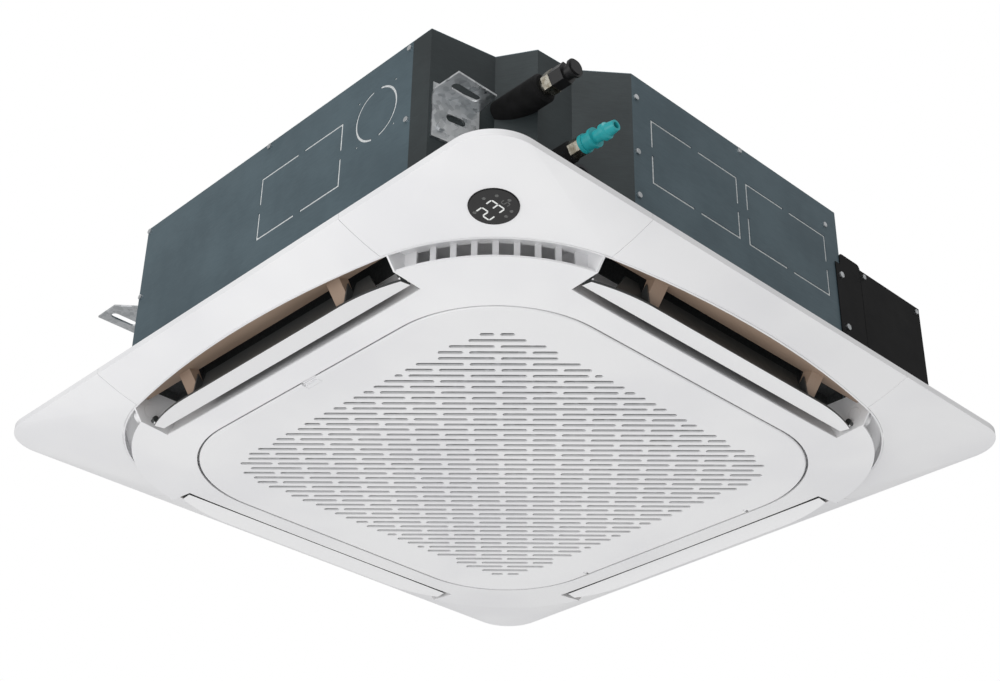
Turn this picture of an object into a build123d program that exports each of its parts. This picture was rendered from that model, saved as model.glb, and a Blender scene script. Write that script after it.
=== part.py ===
from build123d import *
from math import atan2, ceil, cos, degrees, hypot, radians, sin, sqrt
import os

os.makedirs("parts", exist_ok=True)

# A four-way ceiling cassette air conditioner.
# The origin is the centre of the four suspension slots, at half the thickness of the hanger ears.
# +Z is up.  The pipe corner is at -X, -Y.  The display is in the panel's corner below it.
# Heights are given above the lower edge of the panel's rim, and level() turns them into planes.
hang_height = 165.0
hang_pitch_x = 780.0
hang_pitch_y = 680.0

# ---------------------------------------------------------------- casing
casing_half = 420.0
casing_base = 12.0
casing_top = 257.5
sheet = 1.0
back_corner_cut = 163.0
right_corner_cut = 222.0
pipe_corner_points = [(-420.0, -312.0), (-334.0, -328.0), (-308.0, -372.0), (-255.0, -375.0), (-200.0, -420.0)]
left_seam_y = -281.0
back_seam_x = -230.0
right_seam_y = 230.0
front_seam_x = 185.0
top_lip = 12.0
top_bead_height = 2.5
top_bead_width = 16.0
foam_thickness = 9.0
fit_gap = 0.3
running_gap = 0.05

knockout_slit = 3.2
knockout_tab = 12.0
knockout_low = 113.0
knockout_high = 206.5
side_knockout_span = (-158.0, 0.0)
front_knockout_spans = [(-168.0, -8.0), (8.0, 170.0)]
round_knockout_place = (-219.0, 186.0)
round_knockout_radius = 37.0
dimple_radius = 1.6

screw_head_radius = 3.6
screw_head_height = 2.0
screw_shank_radius = 1.7
screw_shank_length = 6.0
screw_hole_radius = 1.8
side_screw_places = [(-275, 250), (-275, 145), (-10, 252), (253, 252), (253, 147), (-275, 45), (253, 45)]
front_screw_places = [(-193, 225), (-193, 145), (-193, 83), (0, 252), (172, 225), (172, 48)]

# ---------------------------------------------------------------- hangers
hanger_sheet = 2.5
hanger_width = 62.0
hanger_drop = 62.0
hanger_rise = 14.0
ear_length = 58.0
ear_width = 40.0
slot_length = 40.0
slot_width = 12.0
hanger_bolt_radius = 3.0
hanger_bolt_spread = 38.0
hanger_bolt_drop = 46.0
hanger_bolt_af = 10.0
hanger_bolt_head = 4.0

# ---------------------------------------------------------------- panel
rim_half = 475.0
rim_corner_radius = 56.0
rim_height = 8.0
panel_wall = 2.5
recess_depth = 20.0
recess_half = 433.0
recess_side_radius = 1298.0
recess_corner = 350.0
island_gap = 10.5
island_edge_depth = 36.0
island_seam_depth = 43.5
seam_gap = 3.0
grille_half = 324.0
grille_corner_radius = 150.0
grille_depth = 44.0
grille_skin = 2.5
intake_half = 295.0
ledge_depth = 28.0
deck_height = 12.0
cover_seam = 235.0
cover_gap = 0.6

# ---------------------------------------------------------------- outlets and louvres
outlet_half = 242.0
outlet_inner = 350.0
outlet_lip = 359.5
liner_wall = 3.0
liner_inner = 394.0
liner_corner_height = -2.0
liner_edge_height = -14.0
strut_place = 144.0
strut_width = 22.0
pivot_r = 384.0
pivot_height = -29.0
strip_inner = (369.8, -36.2)
strip_outer = (400.0, -40.0)
strip_thickness = 3.0
fin_foot = (391.0, -37.0)
fin_top = (383.0, -4.0)
fin_thickness = 2.4
fin_notch_half = 14.0
fin_top_trim = 26.0
fin_far_end = 206.0
fin_motor_end = 152.0
louvre_half = 236.0
louvre_straight_half = 150.0
louvre_end_rise = 16.0
bracket_plate = 2.5
bracket_gap = 1.0
bracket_peak = (396.0, -10.0)
pivot_pin_radius = 2.0
pivot_boss_radius = 5.0
drive_pin_radius = 2.5
drive_pin_reach = 10.0
motor_centre = (389.0, -16.0)
motor_radius = 12.0
motor_nose_radius = 9.0
motor_length = 17.0
motor_boss_radius = 4.0
motor_boss_length = 7.0

# ---------------------------------------------------------------- corner vents
vent_setback = 22.0
vent_rib_depth = 4.0
vent_rib_width = 7.0
vent_rib_pitch_degrees = 6.6
vent_rib_count = 7
shelf_height = -8.0

# ---------------------------------------------------------------- intake grille
slot_field_half = 262.0
slot_field_radius = 64.0
slot_row_pitch = 13.5
air_slot_length = 67.5
air_slot_bridge = 6.5
air_slot_width = 6.4
hinge_axis_x = 318.0
hinge_axis_height = -42.0
hinge_pin_radius = 1.0
hinge_eye_radius = 2.0
grille_edge = 1.2
hinge_places = [-150.0, 150.0]
ear_tab_thickness = 4.0
lug_thickness = 3.0
lug_gap = 0.4
filter_half = 284.0
filter_height = 5.0
filter_bar = 8.0
filter_mesh = 0.8
filter_rib_count = 5
latch_length = 30.0
latch_depth = 9.0
latch_travel = 5.0
latch_height = 4.0

# ---------------------------------------------------------------- display
display_centre = (-386.0, -385.0)
display_radius = 27.5
display_lip = 1.2
display_body_depth = 12.0

# ---------------------------------------------------------------- refrigerant pipes and drain
gas_pipe_x = -322.0
gas_pipe_height = 178.0
gas_pipe_radius = 7.94
gas_sleeve_radius = 18.0
gas_sleeve_end = -398.0
gas_nut_af = 25.0
gas_nut_end = -415.0
gas_cap_af = 24.0
gas_cap_end = -447.0
liquid_pipe_x = -285.0
liquid_pipe_height = 104.0
liquid_pipe_radius = 4.76
liquid_sleeve_radius = 13.0
liquid_sleeve_end = -406.0
liquid_nut_af = 20.0
liquid_nut_end = -421.0
liquid_cap_end = -470.0
pipe_start = -252.0
pipe_wall = 1.0
drain_x = -262.0
drain_height = 84.0
drain_start = -322.0
drain_radius = 16.0
drain_bore = 12.5
drain_end = -398.0

# ---------------------------------------------------------------- electrical box
box_left = 240.0
box_right = 375.0
box_low = 52.0
box_high = 186.0
box_back = -379.0
box_lid = 1.2
box_flange_left = 187.0
box_flange_high = 175.0
box_tab_high = 193.0
box_shelf_rise = 20.0
board_thickness = 1.6
board_gap = 6.0

# ---------------------------------------------------------------- inside the casing
pan_top = 64.0
pan_slot_half = 190.0
trough_floor = 36.0
trough_inner = 262.0
trough_outer = 338.0
bell_seat_radius = 190.0
bell_flange_radius = 200.0
bell_flange_thickness = 2.0
bell_throat_radius = 150.0
bell_top = 80.0
bell_wall = 1.5
coil_half = 330.0
coil_depth = 40.0
coil_corner_radius = 115.0
coil_low = 36.0
coil_high = 242.0
coil_left_end = -200.0
coil_front_end = -160.0
tube_pitch = 22.0
tube_radius = 4.76
fan_radius = 240.0
fan_inlet_radius = 158.0
fan_low = 74.0
fan_high = 214.0
fan_hub_radius = 20.0
fan_hub_low = 118.0
fan_blade_count = 7
fan_blade_thickness = 3.0
fan_sheet = 2.5
shaft_radius = 6.0
shaft_low = 98.0
motor_can_radius = 62.0
motor_can_low = 152.0
motor_can_high = 236.0
motor_flange_half = 82.0
motor_flange_thickness = 3.0
grommet_radius = 11.0
grommet_place = 68.0
pump_place = (-246.0, -292.0)
pump_radius = 24.0
pump_low = 42.0
pump_high = 96.0
impeller_radius = 15.0
float_place = (-205.0, -300.0)
float_radius = 9.0
float_travel = 8.0

def level(height):
    """A plane parallel to the ceiling, at a height above the lower edge of the panel's rim."""
    return Plane.XY.offset(height - hang_height)

def turned(point, angle):
    """A point of the plan, turned about the centre by an angle in degrees."""
    turn = radians(angle)
    return (point[0] * cos(turn) - point[1] * sin(turn), point[0] * sin(turn) + point[1] * cos(turn))

def section(angle, along=0.0):
    """The upright plane square to the outlet that faces an angle; x is outward, y is height above the rim."""
    outward = (cos(radians(angle)), sin(radians(angle)), 0)
    sideways = (sin(radians(angle)), -cos(radians(angle)), 0)
    middle = Vector(0, 0, -hang_height) + Vector(*sideways) * along
    return Plane(origin=middle, x_dir=outward, z_dir=sideways)

def facing(place, outward):
    """An upright plane through a place of the plan, seen from outside; y is height above the rim."""
    sideways = (-outward[1], outward[0], 0)
    return Plane(origin=(place[0], place[1], -hang_height), x_dir=sideways, z_dir=(*outward, 0))

left_face = facing((-casing_half, 0), (-1, 0))
front_face = facing((0, -casing_half), (0, -1))

# The casing's plan: a square with its three free corners cut off and the pipe corner stepped in.
with BuildSketch() as casing_plan:
    with BuildLine():
        Polyline(
            *pipe_corner_points,
            (casing_half - right_corner_cut, -casing_half),
            (casing_half, right_corner_cut - casing_half),
            (casing_half, casing_half - back_corner_cut),
            (casing_half - back_corner_cut, casing_half),
            (back_corner_cut - casing_half, casing_half),
            (-casing_half, casing_half - back_corner_cut),
            close=True,
        )
    make_face()

def casing_section(inset, mode=Mode.ADD):
    """The casing's plan, drawn in from its outer faces."""
    offset(casing_plan.sketch, amount=-inset, kind=Kind.INTERSECTION, mode=mode)

def sector(*points):
    """Keeps the part of the sketch that lies within rays from the centre through the points."""
    Polygon((0, 0), *points, align=None, mode=Mode.INTERSECT)

def knockout(width, height):
    """A slit round a blank that is left hanging by a tab in the middle of each side."""
    Rectangle(width, height)
    Rectangle(width - 2 * knockout_slit, height - 2 * knockout_slit, mode=Mode.SUBTRACT)
    Rectangle(knockout_tab, height + knockout_slit, mode=Mode.SUBTRACT)
    Rectangle(width + knockout_slit, knockout_tab, mode=Mode.SUBTRACT)

side_screws = [left_face.location * Location((-y, h, 0)) for y, h in side_screw_places]
front_screws = [front_face.location * Location((x, h, 0)) for x, h in front_screw_places]
far_out = 2 * casing_half
knockout_height = knockout_high - knockout_low
knockout_middle = (knockout_high + knockout_low) / 2

# ---------------------------------------------------------------- casing sheets
with BuildPart() as casing_left:
    with BuildSketch(level(casing_base)):
        add(casing_plan.sketch)
        casing_section(sheet, Mode.SUBTRACT)
        sector((-far_out, left_seam_y * 2), (-far_out, far_out), (back_seam_x * 2, far_out))
    extrude(amount=casing_top - sheet - casing_base)
    with BuildSketch(left_face):
        low, high = side_knockout_span
        with Locations((-(low + high) / 2, knockout_middle)):
            knockout(high - low, knockout_height)
        with Locations((-round_knockout_place[0], round_knockout_place[1])):
            Circle(round_knockout_radius)
            Circle(round_knockout_radius - knockout_slit, mode=Mode.SUBTRACT)
            Rectangle(knockout_tab, 3 * round_knockout_radius, mode=Mode.SUBTRACT)
            with PolarLocations(round_knockout_radius + 9, 4, start_angle=45):
                Circle(dimple_radius)
    extrude(amount=-2 * sheet, mode=Mode.SUBTRACT)
    with Locations(*side_screws):
        Cylinder(screw_hole_radius, 4 * sheet, mode=Mode.SUBTRACT)
casing_left.part.label = "casing_left"
export_step(casing_left.part, "parts/casing_left.step")

with BuildPart() as casing_back:
    with BuildSketch(level(casing_base)):
        add(casing_plan.sketch)
        casing_section(sheet, Mode.SUBTRACT)
        sector((back_seam_x * 2, far_out), (far_out, far_out), (far_out, right_seam_y * 2))
    extrude(amount=casing_top - sheet - casing_base)
casing_back.part.label = "casing_back"
export_step(casing_back.part, "parts/casing_back.step")

with BuildPart() as casing_right:
    with BuildSketch(level(casing_base)):
        add(casing_plan.sketch)
        casing_section(sheet, Mode.SUBTRACT)
        sector((far_out, right_seam_y * 2), (far_out, -far_out), (front_seam_x * 2, -far_out))
    extrude(amount=casing_top - sheet - casing_base)
casing_right.part.label = "casing_right"
export_step(casing_right.part, "parts/casing_right.step")

with BuildPart() as casing_front:
    with BuildSketch(level(casing_base)):
        add(casing_plan.sketch)
        casing_section(sheet, Mode.SUBTRACT)
        sector((front_seam_x * 2, -far_out), (pipe_corner_points[-1][0] * 2, -far_out))
    extrude(amount=casing_top - sheet - casing_base)
    with BuildSketch(front_face):
        for low, high in front_knockout_spans:
            with Locations(((low + high) / 2, knockout_middle)):
                knockout(high - low, knockout_height)
    extrude(amount=-2 * sheet, mode=Mode.SUBTRACT)
    with Locations(*front_screws):
        Cylinder(screw_hole_radius, 4 * sheet, mode=Mode.SUBTRACT)
casing_front.part.label = "casing_front"
export_step(casing_front.part, "parts/casing_front.step")

pipe_holes = [
    (gas_pipe_x, gas_pipe_height, gas_pipe_radius + fit_gap),
    (liquid_pipe_x, liquid_pipe_height, liquid_pipe_radius + fit_gap),
    (drain_x, drain_height, drain_radius + fit_gap),
]

def cut_pipe_holes(extra=0.0):
    """Holes along Y for the two pipes and the drain."""
    for x, height, radius in pipe_holes:
        with Locations(Location((x, pipe_start, height - hang_height), (90, 0, 0))):
            Cylinder(radius + extra, casing_half, mode=Mode.SUBTRACT)

with BuildPart() as casing_pipe_corner:
    with BuildSketch(level(casing_base)):
        add(casing_plan.sketch)
        casing_section(sheet, Mode.SUBTRACT)
        sector((pipe_corner_points[-1][0] * 2, -far_out), (-far_out, -far_out), (-far_out, left_seam_y * 2))
    extrude(amount=casing_top - sheet - casing_base)
    cut_pipe_holes()
casing_pipe_corner.part.label = "casing_pipe_corner"
export_step(casing_pipe_corner.part, "parts/casing_pipe_corner.step")

grommet_spots = [(grommet_place * i, grommet_place * j) for i in (-1, 1) for j in (-1, 1)]
with BuildPart() as top_plate:
    with BuildSketch(level(casing_top - sheet)):
        add(casing_plan.sketch)
    extrude(amount=sheet)
    with BuildSketch(level(casing_top - sheet)):
        casing_section(sheet)
        casing_section(2 * sheet, Mode.SUBTRACT)
    extrude(amount=-top_lip)
    with BuildSketch(level(casing_top)):
        with PolarLocations(casing_half * 0.5, 8, start_angle=22.5):
            SlotOverall(casing_half * 0.55, top_bead_width)
    extrude(amount=top_bead_height)
    with BuildSketch(level(casing_top - sheet)):
        with Locations(*grommet_spots):
            Circle(screw_hole_radius * 2)
    extrude(amount=sheet, mode=Mode.SUBTRACT)
    with Locations(*side_screws, *front_screws):
        Cylinder(screw_hole_radius, 6 * sheet, mode=Mode.SUBTRACT)
top_plate.part.label = "top_plate"
export_step(top_plate.part, "parts/top_plate.step")

with BuildPart() as casing_foam:
    with BuildSketch(level(pan_top + fit_gap)):
        casing_section(sheet)
        casing_section(sheet + foam_thickness, Mode.SUBTRACT)
    extrude(amount=casing_top - sheet - top_lip - pan_top - 2 * fit_gap)
    cut_pipe_holes(extra=2.0)
    with Locations(*side_screws, *front_screws):
        Cylinder(screw_head_radius, 3 * foam_thickness, mode=Mode.SUBTRACT)
casing_foam.part.label = "casing_foam"
export_step(casing_foam.part, "parts/casing_foam.step")

with BuildPart() as casing_screws:
    with BuildSketch(*[Plane(place) for place in side_screws + front_screws]):
        Circle(screw_head_radius)
    extrude(amount=screw_head_height)
    with BuildSketch(*[Plane(place) for place in side_screws + front_screws]):
        Circle(screw_shank_radius)
    extrude(amount=-screw_shank_length)
casing_screws.part.label = "casing_screws"
export_step(casing_screws.part, "parts/casing_screws.step")

# ---------------------------------------------------------------- hanger brackets
def chamfer_middle(first, second):
    """The middle of a wall of the plan and its outward direction."""
    run = Vector(second[0] - first[0], second[1] - first[1]).normalized()
    middle = ((first[0] + second[0]) / 2, (first[1] + second[1]) / 2)
    return middle, (run.Y, -run.X)

def foot_of(place, middle, outward):
    """The point of a wall that lies nearest to a place."""
    reach = (place[0] - middle[0]) * outward[0] + (place[1] - middle[1]) * outward[1]
    return (place[0] - reach * outward[0], place[1] - reach * outward[1])

pipe_wall_ends = pipe_corner_points[0], pipe_corner_points[1]
right_wall_ends = (casing_half - right_corner_cut, -casing_half), (casing_half, right_corner_cut - casing_half)
back_cut_low = casing_half - back_corner_cut
hanger_walls = {
    "hanger_pipe_corner": (-1, -1, *pipe_wall_ends),
    "hanger_right": (1, -1, *right_wall_ends),
    "hanger_back": (1, 1, (casing_half, back_cut_low), (back_cut_low, casing_half)),
    "hanger_left": (-1, 1, (-back_cut_low, casing_half), (-casing_half, back_cut_low)),
}
hanger_bolt_places = []
for hanger_name, (side_x, side_y, wall_start, wall_end) in hanger_walls.items():
    slot_place = (side_x * hang_pitch_x / 2, side_y * hang_pitch_y / 2)
    wall_middle, wall_outward = chamfer_middle(wall_start, wall_end)
    wall_foot = foot_of(slot_place, wall_middle, wall_outward)
    wall_plane = facing(wall_foot, wall_outward)
    for side in (-1, 1):
        bolt_spot = Location((side * hanger_bolt_spread / 2, hang_height - hanger_bolt_drop, 0))
        hanger_bolt_places.append(wall_plane.location * bolt_spot)
    with BuildPart() as hanger:
        with BuildSketch(level(hang_height - hanger_sheet / 2)):
            with Locations(slot_place):
                Rectangle(ear_length, ear_width)
            with Locations(Location((*wall_foot, 0), (0, 0, degrees(atan2(wall_outward[1], wall_outward[0]))))):
                Rectangle(2 * hanger_sheet, hanger_width, align=(Align.MIN, Align.CENTER))
            make_hull()
            add(casing_plan.sketch, mode=Mode.SUBTRACT)
            with Locations(slot_place):
                SlotOverall(slot_length, slot_width, mode=Mode.SUBTRACT)
        extrude(amount=hanger_sheet)
        with BuildSketch(wall_plane):
            with Locations((0, hang_height - hanger_drop)):
                Rectangle(hanger_width, hanger_drop + hanger_rise, align=(Align.CENTER, Align.MIN))
            with Locations((0, hang_height - hanger_drop * 0.45)):
                SlotOverall(hanger_width * 0.4, hanger_drop * 0.16, mode=Mode.SUBTRACT)
        extrude(amount=hanger_sheet)
        with BuildSketch(*[Plane(place) for place in hanger_bolt_places[-2:]]):
            Circle(hanger_bolt_radius + fit_gap)
        extrude(amount=2 * hanger_sheet, mode=Mode.SUBTRACT)
    hanger.part.label = hanger_name
    export_step(hanger.part, f"parts/{hanger_name}.step")

with BuildPart() as hanger_bolts:
    with BuildSketch(*[Plane(place).offset(hanger_sheet) for place in hanger_bolt_places]):
        RegularPolygon(hanger_bolt_af / 2, 6, major_radius=False)
    extrude(amount=hanger_bolt_head)
    with BuildSketch(*[Plane(place).offset(hanger_sheet) for place in hanger_bolt_places]):
        Circle(hanger_bolt_radius)
    extrude(amount=-hanger_sheet)
hanger_bolts.part.label = "hanger_bolts"
export_step(hanger_bolts.part, "parts/hanger_bolts.step")

# ---------------------------------------------------------------- panel outlines
side_centre = recess_half - recess_side_radius
corner_centre = (
    recess_side_radius**2 - side_centre**2 - 2 * sqrt(2) * recess_corner * recess_side_radius + 2 * recess_corner**2
) / (4 * recess_corner - 2 * side_centre - 2 * sqrt(2) * recess_side_radius)
recess_corner_radius = sqrt(2) * (recess_corner - corner_centre)
joint_angle = atan2(corner_centre, corner_centre - side_centre)

def recess_plan(grow=0.0):
    """The recess outline: four bowed sides and four corner arcs that run into each other."""
    side_radius = recess_side_radius + grow
    joint = (side_centre + side_radius * cos(joint_angle), side_radius * sin(joint_angle))
    corner = corner_centre + (recess_corner_radius + grow) / sqrt(2)
    with BuildSketch() as plan:
        with BuildLine():
            for quarter in range(0, 360, 90):
                side_end = turned(joint, quarter)
                ThreePointArc(
                    turned((joint[0], -joint[1]), quarter),
                    turned((side_centre + side_radius, 0), quarter),
                    side_end,
                )
                ThreePointArc(
                    side_end,
                    turned((corner, corner), quarter),
                    turned((joint[0], -joint[1]), quarter + 90),
                )
        make_face()
    return plan.sketch

def rounded_square(half, radius, mode=Mode.ADD):
    """A square with rounded corners about the centre."""
    RectangleRounded(2 * half, 2 * half, radius, mode=mode)

grille_seam_half = grille_half + seam_gap
grille_seam_radius = grille_corner_radius + seam_gap
cavity_rise = 1.3
grille_wall_half = grille_seam_half + 4.0
quarters = (0, 90, 180, 270)

def outlet_boxes(inner, outer, half, mode):
    """One rectangle of the plan for each outlet."""
    with PolarLocations((inner + outer) / 2, 4):
        Rectangle(outer - inner, 2 * half, mode=mode)

with BuildPart() as flange_shell:
    with BuildSketch(level(0)):
        rounded_square(rim_half, rim_corner_radius)
    with BuildSketch(level(-recess_depth)):
        add(recess_plan())
    loft(ruled=True)
    with BuildSketch(level(0)):
        rounded_square(rim_half, rim_corner_radius)
    extrude(amount=rim_height)
    with BuildSketch(level(cavity_rise)):
        rounded_square(rim_half - panel_wall, rim_corner_radius - panel_wall)
    with BuildSketch(level(panel_wall - recess_depth)):
        add(recess_plan(panel_wall))
    loft(ruled=True, mode=Mode.SUBTRACT)
    with BuildSketch(level(cavity_rise)):
        rounded_square(rim_half - panel_wall, rim_corner_radius - panel_wall)
    extrude(amount=rim_height, mode=Mode.SUBTRACT)
    with BuildSketch(level(-recess_depth)):
        add(recess_plan())
    extrude(amount=2 * recess_depth, mode=Mode.SUBTRACT)

with BuildPart() as corner_blocks:
    with BuildSketch(level(-recess_depth - 1)):
        with GridLocations(2 * rim_half, 2 * rim_half, 2, 2):
            Rectangle(2 * (rim_half - cover_seam), 2 * (rim_half - cover_seam))
        add(recess_plan(panel_wall), mode=Mode.SUBTRACT)
    extrude(amount=2 * recess_depth)

# ---------------------------------------------------------------- panel frame
inner_wall_r = outlet_inner - panel_wall
wall_foot_height = -39.0
undercut_height = -16.0
motor_ends = {0: 1, 90: -1, 180: 1, 270: -1}

with BuildPart() as panel_frame:
    # flange with its four corners left open for the corner covers
    add(flange_shell.part)
    add(corner_blocks.part, mode=Mode.SUBTRACT)
    # wall round the recess and the deck under the casing
    with BuildSketch(level(-recess_depth)):
        add(recess_plan(panel_wall))
        add(recess_plan(), mode=Mode.SUBTRACT)
    extrude(amount=recess_depth + deck_height)
    with BuildSketch(level(deck_height - panel_wall)):
        add(recess_plan(panel_wall))
    extrude(amount=panel_wall)
    # shelf over the corner vents and the wall that the vents go through
    with BuildSketch(level(shelf_height)):
        add(recess_plan(panel_wall))
        add(recess_plan(-vent_setback - vent_rib_depth), mode=Mode.SUBTRACT)
    extrude(amount=panel_wall)
    with BuildSketch(level(-island_edge_depth)):
        add(recess_plan(-vent_setback))
        add(recess_plan(-vent_setback - vent_rib_depth), mode=Mode.SUBTRACT)
    extrude(amount=island_edge_depth + shelf_height)
    # island between the outlets and the grille
    with BuildSketch(level(-island_edge_depth)):
        add(recess_plan(-island_gap))
    with BuildSketch(level(-island_seam_depth)):
        rounded_square(grille_seam_half, grille_seam_radius)
    loft(ruled=True)
    with BuildSketch(level(-island_edge_depth)):
        add(recess_plan(-island_gap))
        add(recess_plan(-vent_setback), mode=Mode.SUBTRACT)
    extrude(amount=panel_wall)
    with BuildSketch(level(-island_edge_depth)):
        add(recess_plan(-vent_setback - vent_rib_depth))
    with BuildSketch(level(panel_wall - island_seam_depth)):
        rounded_square(grille_seam_half, grille_seam_radius)
    loft(ruled=True, mode=Mode.SUBTRACT)
    # windows of the corner vents
    with BuildSketch(level(-island_edge_depth + panel_wall)):
        for quarter in quarters:
            with Locations(turned((corner_centre, corner_centre), quarter)):
                with PolarLocations(
                    recess_corner_radius - vent_setback - vent_rib_depth / 2,
                    vent_rib_count + 1,
                    start_angle=quarter + 45 - vent_rib_count * vent_rib_pitch_degrees / 2,
                    angular_range=vent_rib_count * vent_rib_pitch_degrees,
                    endpoint=True,
                ):
                    window_pitch = radians(vent_rib_pitch_degrees) * (recess_corner_radius - vent_setback)
                    Rectangle(4 * vent_rib_depth, window_pitch - vent_rib_width)
    extrude(amount=island_edge_depth - panel_wall + shelf_height, mode=Mode.SUBTRACT)
    # openings for the four outlets
    with BuildSketch(level(-island_seam_depth - 1)):
        outlet_boxes(outlet_lip, far_out, outlet_half, Mode.ADD)
        add(recess_plan(), mode=Mode.INTERSECT)
    extrude(amount=island_seam_depth + deck_height + 2, mode=Mode.SUBTRACT)
    with BuildSketch(level(undercut_height)):
        outlet_boxes(inner_wall_r, outlet_lip + 1, outlet_half, Mode.ADD)
    extrude(amount=deck_height - undercut_height + 1, mode=Mode.SUBTRACT)
    for quarter in quarters:
        with BuildSketch(section(quarter)):
            Polygon(
                (inner_wall_r, deck_height),
                (outlet_inner, deck_height),
                (outlet_inner, undercut_height),
                (outlet_lip, wall_foot_height),
                (inner_wall_r, wall_foot_height - 1),
                align=None,
            )
        extrude(amount=outlet_half, both=True)
        for end in (-1, 1):
            with BuildSketch(section(quarter, end * (outlet_half + panel_wall / 2))):
                Polygon(
                    (inner_wall_r, deck_height),
                    (inner_wall_r, wall_foot_height),
                    (outlet_lip, wall_foot_height),
                    (recess_half - 33, -island_edge_depth),
                    (recess_half - 21.5, -recess_depth),
                    (recess_half - 21.5, deck_height),
                    align=None,
                )
            extrude(amount=panel_wall / 2, both=True)
            with BuildSketch(section(quarter, end * (outlet_half + panel_wall / 2))):
                with Locations((pivot_r, pivot_height)):
                    Circle(drive_pin_radius + running_gap)
            extrude(amount=panel_wall / 2, both=True, mode=Mode.SUBTRACT)
        with BuildSketch(section(quarter, motor_ends[quarter] * (outlet_half + panel_wall / 2))):
            with Locations(motor_centre):
                Circle(motor_nose_radius + fit_gap)
        extrude(amount=panel_wall / 2, both=True, mode=Mode.SUBTRACT)
        # pocket for the louvre motor behind one end wall
        motor_middle = motor_ends[quarter] * (outlet_half + panel_wall + motor_length / 2)
        with BuildSketch(section(quarter, motor_middle)):
            with Locations(motor_centre):
                Circle(motor_radius + fit_gap)
            with Locations((pivot_r, pivot_height)):
                Circle(motor_boss_radius + fit_gap)
            make_hull()
        extrude(amount=motor_length / 2, both=True, mode=Mode.SUBTRACT)
        # strip of deck outside the liner
        with BuildSketch(section(quarter)):
            with Locations((liner_inner + liner_wall, deck_height - panel_wall)):
                Rectangle(recess_half - liner_inner, panel_wall, align=(Align.MIN, Align.MIN))
        extrude(amount=outlet_half, both=True)
    # wall and ledge round the grille, and the intake duct
    with BuildSketch(level(-island_seam_depth - 1)):
        rounded_square(grille_seam_half, grille_seam_radius)
    extrude(amount=island_seam_depth, mode=Mode.SUBTRACT)
    with BuildSketch(level(-island_seam_depth + 1)):
        rounded_square(grille_wall_half + panel_wall, grille_seam_radius + 4 + panel_wall)
        rounded_square(grille_wall_half, grille_seam_radius + 4, Mode.SUBTRACT)
    extrude(amount=island_seam_depth - 1 - ledge_depth + panel_wall)
    with BuildSketch(level(-ledge_depth)):
        rounded_square(grille_wall_half + panel_wall, grille_seam_radius + 4 + panel_wall)
    extrude(amount=panel_wall)
    with BuildSketch(level(-ledge_depth)):
        rounded_square(intake_half + panel_wall, slot_field_radius + panel_wall)
    extrude(amount=ledge_depth + deck_height)
    with BuildSketch(level(-ledge_depth - 1)):
        rounded_square(intake_half, slot_field_radius)
    extrude(amount=ledge_depth + deck_height + 2, mode=Mode.SUBTRACT)
    # eyes that carry the grille's hinge pins
    for place in hinge_places:
        with BuildSketch(section(0, place)):
            with Locations((hinge_axis_x, -ledge_depth)):
                Rectangle(2 * hinge_eye_radius, -ledge_depth - hinge_axis_height, align=(Align.CENTER, Align.MAX))
            with Locations((hinge_axis_x, hinge_axis_height)):
                Circle(hinge_eye_radius)
                Circle(hinge_pin_radius + running_gap, mode=Mode.SUBTRACT)
        extrude(amount=ear_tab_thickness / 2, both=True)
panel_frame.part.label = "panel_frame"
export_step(panel_frame.part, "parts/panel_frame.step")

# ---------------------------------------------------------------- corner covers and display
display_slope = atan2(recess_depth, (rim_half - recess_corner) * sqrt(2) - rim_corner_radius * (sqrt(2) - 1))
display_reach = (hypot(*display_centre) - recess_corner * sqrt(2)) * sin(display_slope)
display_plane = Plane(
    origin=(*display_centre, display_reach - recess_depth - hang_height),
    x_dir=(1, -1, 0),
    z_dir=(-sin(display_slope) / sqrt(2), -sin(display_slope) / sqrt(2), -cos(display_slope)),
)
corner_names = {"pipe_corner": (-1, -1), "right": (1, -1), "back": (1, 1), "left": (-1, 1)}
for corner_name, (side_x, side_y) in corner_names.items():
    with BuildPart() as corner_cover:
        add(flange_shell.part)
        with BuildSketch(level(-recess_depth - 1)):
            Polygon(
                (side_x * (cover_seam + cover_gap), side_y * (cover_seam + cover_gap)),
                (side_x * far_out, side_y * (cover_seam + cover_gap)),
                (side_x * far_out, side_y * far_out),
                (side_x * (cover_seam + cover_gap), side_y * far_out),
                align=None,
            )
            add(recess_plan(panel_wall + fit_gap), mode=Mode.SUBTRACT)
        extrude(amount=2 * recess_depth, mode=Mode.INTERSECT)
        if corner_name == "pipe_corner":
            with BuildSketch(display_plane):
                Circle(display_radius + fit_gap)
            extrude(amount=display_body_depth, both=True, mode=Mode.SUBTRACT)
    corner_cover.part.label = f"corner_cover_{corner_name}"
    export_step(corner_cover.part, f"parts/corner_cover_{corner_name}.step")

with BuildPart() as display_module:
    with BuildSketch(display_plane.offset(display_lip)):
        Circle(display_radius)
    extrude(amount=-display_lip - panel_wall - 1)
    with BuildSketch(display_plane.offset(-panel_wall - 1)):
        Circle(display_radius + 3)
    extrude(amount=-1.5)
    with BuildSketch(display_plane.offset(-panel_wall - 1)):
        Circle(display_radius - 4)
    extrude(amount=-display_body_depth)
    edge_ring = display_module.edges().filter_by(GeomType.CIRCLE).sort_by(Axis.Z)[0]
    fillet(edge_ring, display_lip * 0.7)
display_module.part.label = "display_module"
export_step(display_module.part, "parts/display_module.step")

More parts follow.
